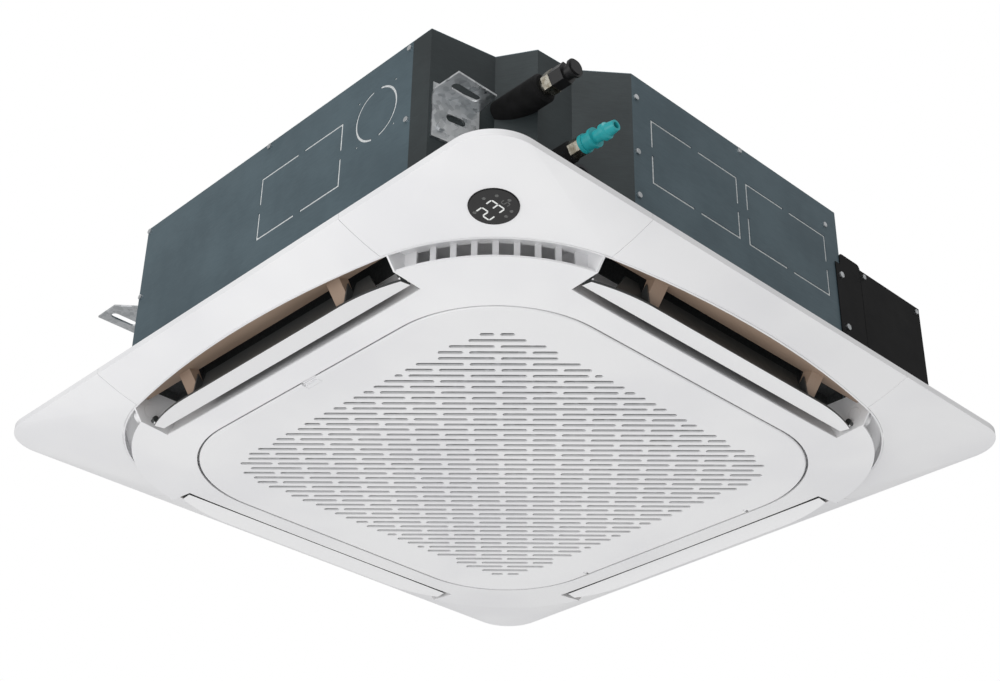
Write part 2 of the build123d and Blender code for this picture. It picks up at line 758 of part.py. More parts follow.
# ---------------------------------------------------------------- outlet liners with their struts
strut_foot = 14.0
liner_slope = (liner_corner_height - liner_edge_height) / (recess_half - liner_inner)
with BuildPart() as outlet_liners:
    for quarter in quarters:
        with BuildSketch(section(quarter)):
            Polygon(
                (recess_half, liner_edge_height),
                (liner_inner, liner_corner_height),
                (liner_inner, deck_height),
                (liner_inner + liner_wall, deck_height),
                (liner_inner + liner_wall, liner_corner_height + liner_wall),
                (recess_half, liner_edge_height + liner_wall),
                align=None,
            )
        extrude(amount=outlet_half - fit_gap, both=True)
        for strut in (-strut_place, strut_place):
            with BuildSketch(section(quarter, strut)):
                Polygon(
                    (liner_inner + 0.5, liner_corner_height + 1),
                    (liner_inner + strut_foot, liner_corner_height + 1 - strut_foot * liner_slope),
                    (pivot_r, pivot_height),
                    align=None,
                )
                with Locations((pivot_r, pivot_height)):
                    Circle(pivot_boss_radius)
                make_hull()
                with Locations((pivot_r, pivot_height)):
                    Circle(pivot_pin_radius + running_gap, mode=Mode.SUBTRACT)
            extrude(amount=strut_width / 2, both=True)
    with BuildSketch(level(-island_edge_depth)):
        add(recess_plan(-fit_gap))
    extrude(amount=island_edge_depth + deck_height, mode=Mode.INTERSECT)
outlet_liners.part.label = "outlet_liners"
export_step(outlet_liners.part, "parts/outlet_liners.step")

# ---------------------------------------------------------------- louvres
fin_length = hypot(fin_top[0] - fin_foot[0], fin_top[1] - fin_foot[1])
fin_up = ((fin_top[0] - fin_foot[0]) / fin_length, (fin_top[1] - fin_foot[1]) / fin_length)
louvre_names = {0: "louvre_right", 90: "louvre_back", 180: "louvre_left", 270: "louvre_front"}
for quarter, louvre_name in louvre_names.items():
    motor_end = motor_ends[quarter]
    outward = Vector(cos(radians(quarter)), sin(radians(quarter)), 0)
    fin_plane = Plane(
        origin=section(quarter).from_local_coords(Vector(*fin_foot, 0)),
        x_dir=section(quarter).z_dir * motor_end,
        z_dir=(outward * fin_up[1] - Vector(0, 0, fin_up[0])) * -motor_end,
    )
    with BuildPart() as louvre:
        # strip that lies level with the island
        with BuildSketch(section(quarter)):
            Polygon(
                strip_inner,
                strip_outer,
                (strip_outer[0], strip_outer[1] + strip_thickness),
                (strip_inner[0], strip_inner[1] + strip_thickness),
                align=None,
            )
        extrude(amount=louvre_half, both=True)
        with BuildSketch(Plane(section(quarter).location * Location((0, strip_inner[1] + 2 * strip_thickness, 0),
                                                                   (90, 0, 0)))):
            with BuildLine():
                Polyline(
                    (strip_outer[0] - louvre_end_rise, -louvre_half),
                    (strip_inner[0] - 1, -louvre_half),
                    (strip_inner[0] - 1, louvre_half),
                    (strip_outer[0] - louvre_end_rise, louvre_half),
                )
                TangentArc(
                    (strip_outer[0], louvre_straight_half), (strip_outer[0] - louvre_end_rise, louvre_half),
                    tangent=(0, 1),
                )
                TangentArc(
                    (strip_outer[0], -louvre_straight_half), (strip_outer[0] - louvre_end_rise, -louvre_half),
                    tangent=(0, -1),
                )
                Line((strip_outer[0], -louvre_straight_half), (strip_outer[0], louvre_straight_half))
            make_face()
        extrude(amount=4 * strip_thickness, both=True, mode=Mode.INTERSECT)
        # fin that rises from the strip into the outlet
        with BuildSketch(fin_plane):
            Polygon(
                (-fin_far_end, 0),
                (fin_motor_end, 0),
                (fin_motor_end, fin_length),
                (fin_top_trim - fin_far_end, fin_length),
                align=None,
            )
            with Locations((-strut_place, 0), (strut_place, 0)):
                Rectangle(2 * fin_notch_half, 3 * fin_length, mode=Mode.SUBTRACT)
        extrude(amount=fin_thickness / 2, both=True)
        # brackets beside the struts, with the pins that turn in the struts
        for strut in (-strut_place, strut_place):
            bracket_middle = strut - motor_end * (strut_width / 2 + bracket_gap + bracket_plate / 2)
            with BuildSketch(section(quarter, bracket_middle)):
                with Locations((pivot_r, pivot_height)):
                    Circle(pivot_boss_radius - 0.5)
                Polygon(
                    (fin_foot[0] - 2, strip_outer[1] + strip_thickness),
                    (strip_outer[0] - 1, strip_outer[1] + strip_thickness - 0.5),
                    bracket_peak,
                    align=None,
                )
                make_hull()
            extrude(amount=bracket_plate / 2, both=True)
            with BuildSketch(section(quarter, strut - motor_end * bracket_gap)):
                with Locations((pivot_r, pivot_height)):
                    Circle(pivot_pin_radius)
            extrude(amount=strut_width / 2 + bracket_gap / 2, both=True)
        # arms at both ends, with the pins that turn in the end walls
        for end in (-1, 1):
            with BuildSketch(section(quarter, end * (louvre_half - bracket_plate / 2))):
                with Locations((pivot_r, pivot_height)):
                    Circle(pivot_boss_radius - 0.5)
                Polygon(
                    (strip_inner[0] + 4, strip_inner[1] + strip_thickness - 1),
                    (strip_outer[0] - louvre_end_rise - 2, strip_outer[1] + strip_thickness),
                    (pivot_r, pivot_height),
                    align=None,
                )
                make_hull()
            extrude(amount=bracket_plate / 2, both=True)
            reach = drive_pin_reach if end == motor_end else outlet_half + panel_wall - louvre_half
            with BuildSketch(section(quarter, end * (louvre_half + reach / 2))):
                with Locations((pivot_r, pivot_height)):
                    Circle(drive_pin_radius)
            extrude(amount=reach / 2, both=True)
    louvre.part.label = louvre_name
    export_step(louvre.part, f"parts/{louvre_name}.step")

with BuildPart() as louvre_motors:
    for quarter in quarters:
        end = motor_ends[quarter]
        with BuildSketch(section(quarter, end * (outlet_half + panel_wall + motor_length / 2))):
            with Locations(motor_centre):
                Circle(motor_radius)
        extrude(amount=motor_length / 2, both=True)
        with BuildSketch(section(quarter, end * (outlet_half + panel_wall / 2))):
            with Locations(motor_centre):
                Circle(motor_nose_radius)
        extrude(amount=panel_wall / 2, both=True)
        with BuildSketch(section(quarter, end * (outlet_half + panel_wall + motor_boss_length / 2))):
            with Locations((pivot_r, pivot_height), motor_centre):
                Circle(motor_boss_radius)
            make_hull()
        extrude(amount=motor_boss_length / 2, both=True)
        with BuildSketch(section(quarter, end * (outlet_half + panel_wall + motor_boss_length / 2))):
            with Locations((pivot_r, pivot_height)):
                Circle(drive_pin_radius + running_gap)
        extrude(amount=motor_boss_length / 2, both=True, mode=Mode.SUBTRACT)
louvre_motors.part.label = "louvre_motors"
export_step(louvre_motors.part, "parts/louvre_motors.step")

# ---------------------------------------------------------------- intake grille, filter and latch
slot_reach = slot_field_half * sqrt(2)
slot_corner_place = (slot_field_half - slot_field_radius) * sqrt(2)

def slot_row_half(row):
    """Half the length of the slot field along a diagonal row, at the row's distance from the centre."""
    row = abs(row)
    if row < slot_field_radius / sqrt(2):
        return slot_corner_place + sqrt(slot_field_radius**2 - row**2)
    if row > slot_corner_place + slot_field_radius / sqrt(2):
        return sqrt(max(slot_field_radius**2 - (row - slot_corner_place) ** 2, 0))
    return slot_reach - row

air_slots = {}
row_count = 2 * int((slot_corner_place + slot_field_radius - air_slot_width / 2) / slot_row_pitch) + 1
for row_number in range(row_count):
    row = (row_number - row_count // 2) * slot_row_pitch
    row_half = slot_row_half(abs(row) + air_slot_width / 2)
    slot_period = air_slot_length + air_slot_bridge
    shift = slot_period / 2 * ((row_number - row_count // 2) % 2)
    copies = ceil(row_half / slot_period) + 1
    for copy in range(-copies, copies + 1):
        start = max(copy * slot_period + shift - air_slot_length / 2, -row_half)
        end = min(copy * slot_period + shift + air_slot_length / 2, row_half)
        if end - start > 1.3 * air_slot_width:
            middle = (start + end) / 2
            place = Location(((row + middle) / sqrt(2), (row - middle) / sqrt(2), 0), (0, 0, -45))
            air_slots.setdefault(round(end - start, 3), []).append(place)

hinge_side_rib = 308.0
grille_rib_thickness = 3.0
grille_rib_height = 5.0
latch_notch_depth = 12.0
knuckle_gap = 1.5
skin_top = grille_skin - grille_depth
with BuildPart() as intake_grille:
    with BuildSketch(level(-grille_depth)):
        rounded_square(grille_half, grille_corner_radius)
        with Locations((-grille_half, 0)):
            Rectangle(2 * latch_notch_depth, latch_length - 4, mode=Mode.SUBTRACT)
        with Locations(*[(hinge_axis_x - hinge_eye_radius - knuckle_gap, -place) for place in hinge_places]):
            Rectangle(2 * (grille_half - hinge_axis_x + hinge_eye_radius), ear_tab_thickness + 2 * lug_gap,
                      align=(Align.MIN, Align.CENTER), mode=Mode.SUBTRACT)
        for slot_size, places in air_slots.items():
            with Locations(*places):
                SlotOverall(slot_size, air_slot_width, mode=Mode.SUBTRACT)
    extrude(amount=grille_skin)
    # sloped lower edge, so that the grille clears the seam as it swings
    with BuildSketch(level(-grille_depth)):
        rounded_square(grille_half - grille_edge, grille_corner_radius - grille_edge)
    extrude(amount=grille_skin + 1, taper=-45, mode=Mode.INTERSECT)
    with BuildSketch(level(skin_top)):
        rounded_square(hinge_side_rib, grille_corner_radius - 12)
        rounded_square(hinge_side_rib - grille_rib_thickness, grille_corner_radius - 15, Mode.SUBTRACT)
    extrude(amount=grille_rib_height)
    for place in hinge_places:
        for side in (-1, 1):
            lug_middle = place + side * (ear_tab_thickness / 2 + lug_gap + lug_thickness / 2)
            with BuildSketch(section(0, lug_middle)):
                with Locations((hinge_axis_x, hinge_axis_height)):
                    Circle(hinge_eye_radius)
            extrude(amount=lug_thickness / 2, both=True)
            with BuildSketch(section(0, lug_middle)):
                with Locations((hinge_axis_x, hinge_axis_height)):
                    Circle(hinge_pin_radius + running_gap)
            extrude(amount=lug_thickness / 2 + lug_gap / 2, both=True, mode=Mode.SUBTRACT)
intake_grille.part.label = "intake_grille"
export_step(intake_grille.part, "parts/intake_grille.step")

with BuildPart() as grille_hinge_pins:
    with BuildSketch(*[section(0, place) for place in hinge_places]):
        with Locations((hinge_axis_x, hinge_axis_height)):
            Circle(hinge_pin_radius)
    extrude(amount=ear_tab_thickness / 2 + lug_gap + lug_thickness, both=True)
grille_hinge_pins.part.label = "grille_hinge_pins"
export_step(grille_hinge_pins.part, "parts/grille_hinge_pins.step")

latch_nose_x = fit_gap - grille_half
latch_nose_length = 2.8
latch_rest_height = skin_top + running_gap
latch_nose_height = panel_wall - island_seam_depth + fit_gap
with BuildPart() as grille_latch:
    with BuildSketch(Plane(origin=(0, latch_length / 2, -hang_height), x_dir=(1, 0, 0), z_dir=(0, -1, 0))):
        Polygon(
            (latch_nose_x, latch_nose_height),
            (latch_nose_x + latch_nose_length, latch_nose_height),
            (latch_nose_x + latch_nose_length, latch_rest_height),
            (latch_nose_x + latch_notch_depth + 2, latch_rest_height),
            (latch_nose_x + latch_notch_depth + 2, latch_rest_height + latch_height),
            (latch_nose_x, latch_rest_height + latch_height),
            align=None,
        )
    extrude(amount=latch_length)
    with BuildSketch(level(-grille_depth)):
        with Locations((latch_nose_x + latch_travel + 0.5, 0)):
            Rectangle(latch_notch_depth - latch_travel - 1.1, latch_length - 5, align=(Align.MIN, Align.CENTER))
    extrude(amount=grille_skin + 1)
grille_latch.part.label = "grille_latch"
export_step(grille_latch.part, "parts/grille_latch.step")

with BuildPart() as air_filter:
    with BuildSketch(level(skin_top)):
        rounded_square(filter_half, slot_field_radius)
        rounded_square(filter_half - filter_bar, slot_field_radius - filter_bar, Mode.SUBTRACT)
    extrude(amount=filter_height)
    rib_step = 2 * filter_half / (filter_rib_count + 1)
    with BuildSketch(level(skin_top)):
        with GridLocations(rib_step, 0, filter_rib_count, 1):
            Rectangle(lug_thickness, 2 * filter_half - filter_bar)
        with GridLocations(0, rib_step, 1, filter_rib_count):
            Rectangle(2 * filter_half - filter_bar, lug_thickness)
    extrude(amount=filter_height)
    with BuildSketch(level(skin_top + filter_height - filter_mesh)):
        rounded_square(filter_half - 1, slot_field_radius - 1)
    extrude(amount=filter_mesh)
air_filter.part.label = "air_filter"
export_step(air_filter.part, "parts/air_filter.step")

# ---------------------------------------------------------------- pipes
def across(x, height, start):
    """The upright plane that faces the pipe side, through a pipe's axis at a distance along Y."""
    return Plane(origin=(x, start, height - hang_height), x_dir=(1, 0, 0), z_dir=(0, -1, 0))

with BuildPart() as gas_pipe:
    with BuildSketch(across(gas_pipe_x, gas_pipe_height, pipe_start)):
        Circle(gas_pipe_radius)
        Circle(gas_pipe_radius - pipe_wall, mode=Mode.SUBTRACT)
    extrude(amount=pipe_start - gas_nut_end)
gas_pipe.part.label = "gas_pipe"
export_step(gas_pipe.part, "parts/gas_pipe.step")

with BuildPart() as liquid_pipe:
    with BuildSketch(across(liquid_pipe_x, liquid_pipe_height, pipe_start)):
        Circle(liquid_pipe_radius)
        Circle(liquid_pipe_radius - pipe_wall, mode=Mode.SUBTRACT)
    extrude(amount=pipe_start - liquid_nut_end)
liquid_pipe.part.label = "liquid_pipe"
export_step(liquid_pipe.part, "parts/liquid_pipe.step")

for name, x, height, inner, outer, end in (
    ("gas_pipe_sleeve", gas_pipe_x, gas_pipe_height, gas_pipe_radius, gas_sleeve_radius, gas_sleeve_end),
    ("liquid_pipe_sleeve", liquid_pipe_x, liquid_pipe_height, liquid_pipe_radius, liquid_sleeve_radius,
     liquid_sleeve_end),
):
    with BuildPart() as pipe_sleeve:
        with BuildSketch(across(x, height, pipe_corner_points[0][1])):
            Circle(outer)
            Circle(inner + running_gap, mode=Mode.SUBTRACT)
        extrude(amount=pipe_corner_points[0][1] - end)
        chamfer(pipe_sleeve.faces().sort_by(Axis.Y)[0].outer_wire().edges(), 3)
        with BuildSketch(level(0)):
            offset(casing_plan.sketch, amount=running_gap, kind=Kind.INTERSECTION)
        extrude(amount=casing_top, mode=Mode.SUBTRACT)
    pipe_sleeve.part.label = name
    export_step(pipe_sleeve.part, f"parts/{name}.step")

with BuildPart() as gas_flare_nut:
    with BuildSketch(across(gas_pipe_x, gas_pipe_height, gas_sleeve_end)):
        Circle(gas_nut_af / 2 - 3)
        Circle(gas_pipe_radius + running_gap, mode=Mode.SUBTRACT)
    extrude(amount=(gas_sleeve_end - gas_nut_end) * 0.35)
    with BuildSketch(across(gas_pipe_x, gas_pipe_height, gas_sleeve_end - (gas_sleeve_end - gas_nut_end) * 0.35)):
        RegularPolygon(gas_nut_af / 2, 6, major_radius=False)
        Circle(gas_pipe_radius + running_gap, mode=Mode.SUBTRACT)
    extrude(amount=(gas_sleeve_end - gas_nut_end) * 0.65)
gas_flare_nut.part.label = "gas_flare_nut"
export_step(gas_flare_nut.part, "parts/gas_flare_nut.step")

cap_skirt = 0.55
with BuildPart() as gas_pipe_cap:
    with BuildSketch(across(gas_pipe_x, gas_pipe_height, gas_nut_end)):
        RegularPolygon(gas_cap_af / 2, 6, major_radius=False)
    extrude(amount=(gas_nut_end - gas_cap_end) * cap_skirt)
    with BuildSketch(across(gas_pipe_x, gas_pipe_height, gas_nut_end - (gas_nut_end - gas_cap_end) * cap_skirt)):
        Circle(gas_cap_af / 2 - 3)
    extrude(amount=(gas_nut_end - gas_cap_end) * (1 - cap_skirt))
    with BuildSketch(across(gas_pipe_x, gas_pipe_height, gas_cap_end + 5)):
        Circle(gas_cap_af / 2 - 0.5)
        Circle(gas_cap_af / 2 - 4, mode=Mode.SUBTRACT)
    extrude(amount=3)
gas_pipe_cap.part.label = "gas_pipe_cap"
export_step(gas_pipe_cap.part, "parts/gas_pipe_cap.step")

with BuildPart() as liquid_flare_nut:
    with BuildSketch(across(liquid_pipe_x, liquid_pipe_height, liquid_sleeve_end)):
        RegularPolygon(liquid_nut_af / 2, 6, major_radius=False)
        Circle(liquid_pipe_radius + running_gap, mode=Mode.SUBTRACT)
    extrude(amount=liquid_sleeve_end - liquid_nut_end)
liquid_flare_nut.part.label = "liquid_flare_nut"
export_step(liquid_flare_nut.part, "parts/liquid_flare_nut.step")

liquid_cap_steps = [(0, 11.5), (5, 11.5), (5, 10), (15, 10), (15, 12), (19, 12), (19, 7.5), (30, 7.5), (30, 10),
                    (36, 10), (38, 8), (49, 6.5), (49, 4), (34, 4), (34, 0), (0, 0)]
with BuildPart() as liquid_pipe_cap:
    with BuildSketch(Plane(origin=(liquid_pipe_x, liquid_nut_end, liquid_pipe_height - hang_height),
                           x_dir=(0, -1, 0), z_dir=(1, 0, 0))):
        Polygon(*liquid_cap_steps, align=None)
    revolve(axis=Axis((liquid_pipe_x, 0, liquid_pipe_height - hang_height), (0, 1, 0)))
liquid_pipe_cap.part.label = "liquid_pipe_cap"
export_step(liquid_pipe_cap.part, "parts/liquid_pipe_cap.step")

drain_flange = 4.0
with BuildPart() as drain_socket:
    with BuildSketch(across(drain_x, drain_height, drain_start)):
        Circle(drain_radius)
        Circle(drain_bore, mode=Mode.SUBTRACT)
    extrude(amount=drain_start - drain_end)
    with BuildSketch(across(drain_x, drain_height, drain_end + 8)):
        Circle(drain_radius + 1.5)
        Circle(drain_bore, mode=Mode.SUBTRACT)
    extrude(amount=drain_flange)
drain_socket.part.label = "drain_socket"
export_step(drain_socket.part, "parts/drain_socket.step")

# ---------------------------------------------------------------- electrical box
front_line = -casing_half - fit_gap
right_wall_line = 2 * casing_half - right_corner_cut
box_shelf_left = box_right - 45
box_shelf_right = box_right - 15
with BuildPart() as electrical_box:
    with BuildSketch(level(box_low)):
        with Locations((box_left, front_line)):
            Rectangle(box_right - box_left, box_back - front_line, align=(Align.MIN, Align.MIN))
        with Locations((box_left + sheet, front_line - 1)):
            Rectangle(box_right - box_left - 2 * sheet, box_back - front_line - sheet + 1,
                      align=(Align.MIN, Align.MIN), mode=Mode.SUBTRACT)
    extrude(amount=box_high - box_low)
    with BuildSketch(level(box_low), level(box_high - sheet)):
        with Locations((box_left, front_line)):
            Rectangle(box_right - box_left, box_back - front_line, align=(Align.MIN, Align.MIN))
    extrude(amount=sheet)
    with BuildSketch(front_face.offset(fit_gap)):
        with Locations((box_flange_left, box_low)):
            Rectangle(box_left - box_flange_left + sheet, box_flange_high - box_low, align=(Align.MIN, Align.MIN))
    extrude(amount=sheet)
    # shelf that reaches back to the casing's cut-off corner
    with BuildSketch(level(box_low + box_shelf_rise)):
        Polygon((box_shelf_left, box_back), (box_shelf_right, box_back),
                (box_shelf_right, box_shelf_right - right_wall_line), (box_shelf_left, box_shelf_left - right_wall_line),
                align=None)
    extrude(amount=2 * sheet)
    # tab above the flange that lies against the casing
    with BuildSketch(front_face.offset(fit_gap)) as box_tab:
        with Locations((box_flange_left + 10, box_flange_high)):
            Rectangle(box_left - box_flange_left - 10 + sheet, box_tab_high - box_flange_high,
                      align=(Align.MIN, Align.MIN))
        fillet(box_tab.vertices().group_by(Axis.Y)[-1], 6)
    extrude(amount=sheet)
electrical_box.part.label = "electrical_box"
export_step(electrical_box.part, "parts/electrical_box.step")

with BuildPart() as electrical_box_lid:
    with BuildSketch(front_face.offset(fit_gap)):
        with Locations((box_left + sheet, box_low)):
            Rectangle(box_right - box_left - sheet, box_high - box_low, align=(Align.MIN, Align.MIN))
    extrude(amount=box_lid)
electrical_box_lid.part.label = "electrical_box_lid"
export_step(electrical_box_lid.part, "parts/electrical_box_lid.step")

board_half_height = (box_high - box_low) / 2 - 12
with BuildPart() as control_board:
    with BuildSketch(Plane(origin=((box_left + box_right) / 2, box_back - sheet, (box_low + box_high) / 2 - hang_height),
                           x_dir=(1, 0, 0), z_dir=(0, -1, 0))):
        Rectangle(box_right - box_left - 20, 2 * board_half_height)
    extrude(amount=board_gap + board_thickness)
    with BuildSketch(Plane(origin=((box_left + box_right) / 2, box_back - sheet, (box_low + box_high) / 2 - hang_height),
                           x_dir=(1, 0, 0), z_dir=(0, -1, 0))):
        Rectangle(box_right - box_left - 30, 2 * board_half_height - 10)
        Rectangle(box_right - box_left - 18, 2 * board_half_height - 30)
    extrude(amount=board_gap, mode=Mode.SUBTRACT)
    with BuildSketch(Plane(origin=((box_left + box_right) / 2, box_back - sheet - board_gap - board_thickness,
                                   (box_low + box_high) / 2 - hang_height), x_dir=(1, 0, 0), z_dir=(0, -1, 0))):
        with Locations((-30, 20), (5, 25)):
            Rectangle(22, 26)
        with Locations((35, 5)):
            Rectangle(18, 40)
        with Locations((-25, -25)):
            Rectangle(40, 16)
    extrude(amount=12)
control_board.part.label = "control_board"
export_step(control_board.part, "parts/control_board.step")

with BuildPart() as box_screws:
    with BuildSketch(front_face.offset(fit_gap + sheet)):
        with Locations((197, 158), (200, 80)):
            Circle(screw_head_radius + 0.6)
    extrude(amount=screw_head_height)
    with BuildSketch(front_face.offset(fit_gap + box_lid)):
        with Locations((box_left + 8, box_high - 8), (box_right - 8, box_high - 8), (box_right - 8, box_low + 8)):
            Circle(screw_head_radius)
    extrude(amount=screw_head_height)
box_screws.part.label = "box_screws"
export_step(box_screws.part, "parts/box_screws.step")

# ---------------------------------------------------------------- drain pan and bell mouth
pan_bottom = deck_height
louvre_relief = 12.0
plug_place = (-300.0, -290.0)
plug_radius = 8.0
with BuildPart() as drain_pan:
    with BuildSketch(level(pan_bottom)):
        casing_section(sheet + fit_gap)
        outlet_boxes(outlet_inner, liner_inner + liner_wall, pan_slot_half, Mode.SUBTRACT)
        Circle(bell_seat_radius, mode=Mode.SUBTRACT)
        with Locations(plug_place):
            Circle(plug_radius, mode=Mode.SUBTRACT)
    extrude(amount=pan_top - pan_bottom)
    with BuildSketch(level(trough_floor)):
        rounded_square(trough_outer, coil_corner_radius)
        rounded_square(trough_inner, coil_corner_radius - 60, Mode.SUBTRACT)
    extrude(amount=pan_top - trough_floor, mode=Mode.SUBTRACT)
    with BuildSketch(level(pan_bottom)):
        Circle(bell_flange_radius + fit_gap)
        outlet_boxes(outlet_inner, liner_inner + liner_wall, outlet_half, Mode.ADD)
    extrude(amount=bell_flange_thickness, mode=Mode.SUBTRACT)
    with BuildSketch(level(pan_bottom)):
        outlet_boxes(outlet_inner, liner_inner + liner_wall, outlet_half, Mode.ADD)
    extrude(amount=louvre_relief, mode=Mode.SUBTRACT)
    with Locations(*side_screws, *front_screws):
        Cylinder(screw_hole_radius, 3 * foam_thickness, mode=Mode.SUBTRACT)
drain_pan.part.label = "drain_pan"
export_step(drain_pan.part, "parts/drain_pan.step")

with BuildPart() as drain_plug:
    with BuildSketch(level(trough_floor)):
        with Locations(plug_place):
            Circle(plug_radius + 3)
    extrude(amount=3)
    with BuildSketch(level(trough_floor)):
        with Locations(plug_place):
            Circle(plug_radius - running_gap)
    extrude(amount=pan_bottom - trough_floor + fit_gap)
drain_plug.part.label = "drain_plug"
export_step(drain_plug.part, "parts/drain_plug.step")

bell_edge = bell_seat_radius - 4
with BuildPart() as bell_mouth:
    with BuildSketch(section(0)):
        with BuildLine():
            Line((bell_flange_radius, pan_bottom), (bell_edge - bell_wall, pan_bottom))
            Bezier(
                (bell_edge - bell_wall, pan_bottom),
                (bell_throat_radius + 8, pan_bottom + 2),
                (bell_throat_radius, pan_bottom + 20),
                (bell_throat_radius, bell_top),
            )
            Line((bell_throat_radius, bell_top), (bell_throat_radius + bell_wall, bell_top))
            Bezier(
                (bell_throat_radius + bell_wall, bell_top),
                (bell_throat_radius + bell_wall, pan_bottom + 21),
                (bell_throat_radius + 9 + bell_wall, pan_bottom + 2 + bell_flange_thickness),
                (bell_edge, pan_bottom + bell_flange_thickness),
            )
            Polyline(
                (bell_edge, pan_bottom + bell_flange_thickness),
                (bell_flange_radius, pan_bottom + bell_flange_thickness),
                (bell_flange_radius, pan_bottom),
            )
        make_face()
    revolve(axis=Axis.Z)
bell_mouth.part.label = "bell_mouth"
export_step(bell_mouth.part, "parts/bell_mouth.step")

# ---------------------------------------------------------------- heat exchanger

def coil_ring(inset, mode=Mode.ADD):
    rounded_square(coil_half - inset, coil_corner_radius - inset, mode)

with BuildPart() as heat_exchanger:
    with BuildSketch(level(coil_low)):
        coil_ring(0)
        coil_ring(coil_depth, Mode.SUBTRACT)
        with Locations((-coil_half - 1, -coil_half - 1)):
            Rectangle(coil_half + coil_front_end + 1, coil_half + coil_left_end + 1, align=(Align.MIN, Align.MIN),
                      mode=Mode.SUBTRACT)
    extrude(amount=coil_high - coil_low)
heat_exchanger.part.label = "heat_exchanger"
export_step(heat_exchanger.part, "parts/heat_exchanger.step")

end_plate = 1.5
with BuildPart() as coil_end_plates:
    with BuildSketch(level(coil_low)):
        with Locations((-coil_half - 2, coil_left_end - end_plate)):
            Rectangle(coil_depth + 4, end_plate, align=(Align.MIN, Align.MIN))
        with Locations((coil_front_end - end_plate, -coil_half - 2)):
            Rectangle(end_plate, coil_depth + 4, align=(Align.MIN, Align.MIN))
    extrude(amount=casing_top - sheet - coil_low)
coil_end_plates.part.label = "coil_end_plates"
export_step(coil_end_plates.part, "parts/coil_end_plates.step")

gas_header_place = (gas_pipe_x, -247.0)
gas_header_radius = 11.0
liquid_header_place = (liquid_pipe_x, -249.0)
liquid_header_radius = 8.0
header_wall = 1.2
gas_stub = (3.2, gas_pipe_x, [70.0, 105.0, 140.0, 175.0, 205.0])
liquid_stub = (2.0, liquid_pipe_x - 6, [70.0, 92.0, 114.0, 130.0])
bend_starts = [coil_low + tube_pitch * (2 * bend + 1.5) for bend in range(4)]
left_bend_middle = (-coil_half + coil_depth / 2, coil_left_end - end_plate)
front_bend_middle = (coil_front_end - end_plate, -coil_half + coil_depth / 2)
with BuildPart() as coil_tubes:
    for bend_start in bend_starts:
        bend_top = bend_start + tube_pitch / 2 - hang_height
        with BuildSketch(across(left_bend_middle[0], bend_start, left_bend_middle[1])):
            Circle(tube_radius)
        revolve(axis=Axis((*left_bend_middle, bend_top), (1, 0, 0)), revolution_arc=-180)
        front_plane = Plane(origin=(*front_bend_middle, bend_start - hang_height), x_dir=(0, 1, 0), z_dir=(-1, 0, 0))
        with BuildSketch(front_plane):
            Circle(tube_radius)
        revolve(axis=Axis((*front_bend_middle, bend_top), (0, 1, 0)), revolution_arc=180)
    for place, radius, low, high in (
        (gas_header_place, gas_header_radius, 62, 215),
        (liquid_header_place, liquid_header_radius, 62, 140),
    ):
        with BuildSketch(level(low)):
            with Locations(place):
                Circle(radius)
        extrude(amount=high - low)
    for radius, x, heights in (gas_stub, liquid_stub):
        for height in heights:
            with BuildSketch(across(x, height, left_bend_middle[1])):
                Circle(radius)
            extrude(amount=left_bend_middle[1] - gas_header_place[1])
    for place, radius, low, high in (
        (gas_header_place, gas_header_radius, 62, 215),
        (liquid_header_place, liquid_header_radius, 62, 140),
    ):
        with BuildSketch(level(low + header_wall)):
            with Locations(place):
                Circle(radius - header_wall)
        extrude(amount=high - low - 2 * header_wall, mode=Mode.SUBTRACT)
    for x, height, radius in pipe_holes[:2]:
        with BuildSketch(across(x, height, gas_header_place[1])):
            Circle(radius - fit_gap + running_gap)
        extrude(amount=gas_header_radius + 5, mode=Mode.SUBTRACT)
coil_tubes.part.label = "coil_tubes"
export_step(coil_tubes.part, "parts/coil_tubes.step")

# ---------------------------------------------------------------- fan and its motor
with BuildPart() as turbo_fan:
    with BuildSketch(level(fan_low)):
        with PolarLocations(0, fan_blade_count):
            with BuildLine():
                ThreePointArc((fan_inlet_radius - 2, 0), (199, 26), (fan_radius - 16, 75))
                Line((fan_radius - 16, 75), (fan_radius - 19, 77))
                ThreePointArc((fan_radius - 19, 77), (197, 28.5), (fan_inlet_radius - 3, fan_blade_thickness))
                Line((fan_inlet_radius - 3, fan_blade_thickness), (fan_inlet_radius - 2, 0))
            make_face()
    extrude(amount=fan_high - fan_low)
    with BuildSketch(section(0)):
        Polygon(
            (fan_inlet_radius + 2, fan_low + 2),
            (fan_radius - 0.5, 111),
            (fan_radius - 0.5, fan_high - 1.5),
            (fan_inlet_radius + 2, fan_high - 1.5),
            align=None,
        )
    revolve(axis=Axis.Z, mode=Mode.INTERSECT)
    with BuildSketch(section(0)):
        Polygon(
            (fan_inlet_radius, fan_low),
            (fan_radius, 110),
            (fan_radius, 110 + fan_sheet),
            (fan_inlet_radius, fan_low + fan_sheet),
            align=None,
        )
        Polygon(
            (shaft_radius + running_gap, fan_hub_low),
            (fan_hub_radius, fan_hub_low),
            (fan_hub_radius, 143),
            (75, 146),
            (78, fan_high - fan_sheet),
            (fan_radius, fan_high - fan_sheet),
            (fan_radius, fan_high),
            (75.5, fan_high),
            (72.5, 146 + fan_sheet),
            (shaft_radius + running_gap, 143 + fan_sheet),
            align=None,
        )
    revolve(axis=Axis.Z)
turbo_fan.part.label = "turbo_fan"
export_step(turbo_fan.part, "parts/turbo_fan.step")

shaft_high = motor_can_high - 12
with BuildPart() as motor_shaft:
    with BuildSketch(level(shaft_low)):
        Circle(shaft_radius)
    extrude(amount=shaft_high - shaft_low)
motor_shaft.part.label = "motor_shaft"
export_step(motor_shaft.part, "parts/motor_shaft.step")

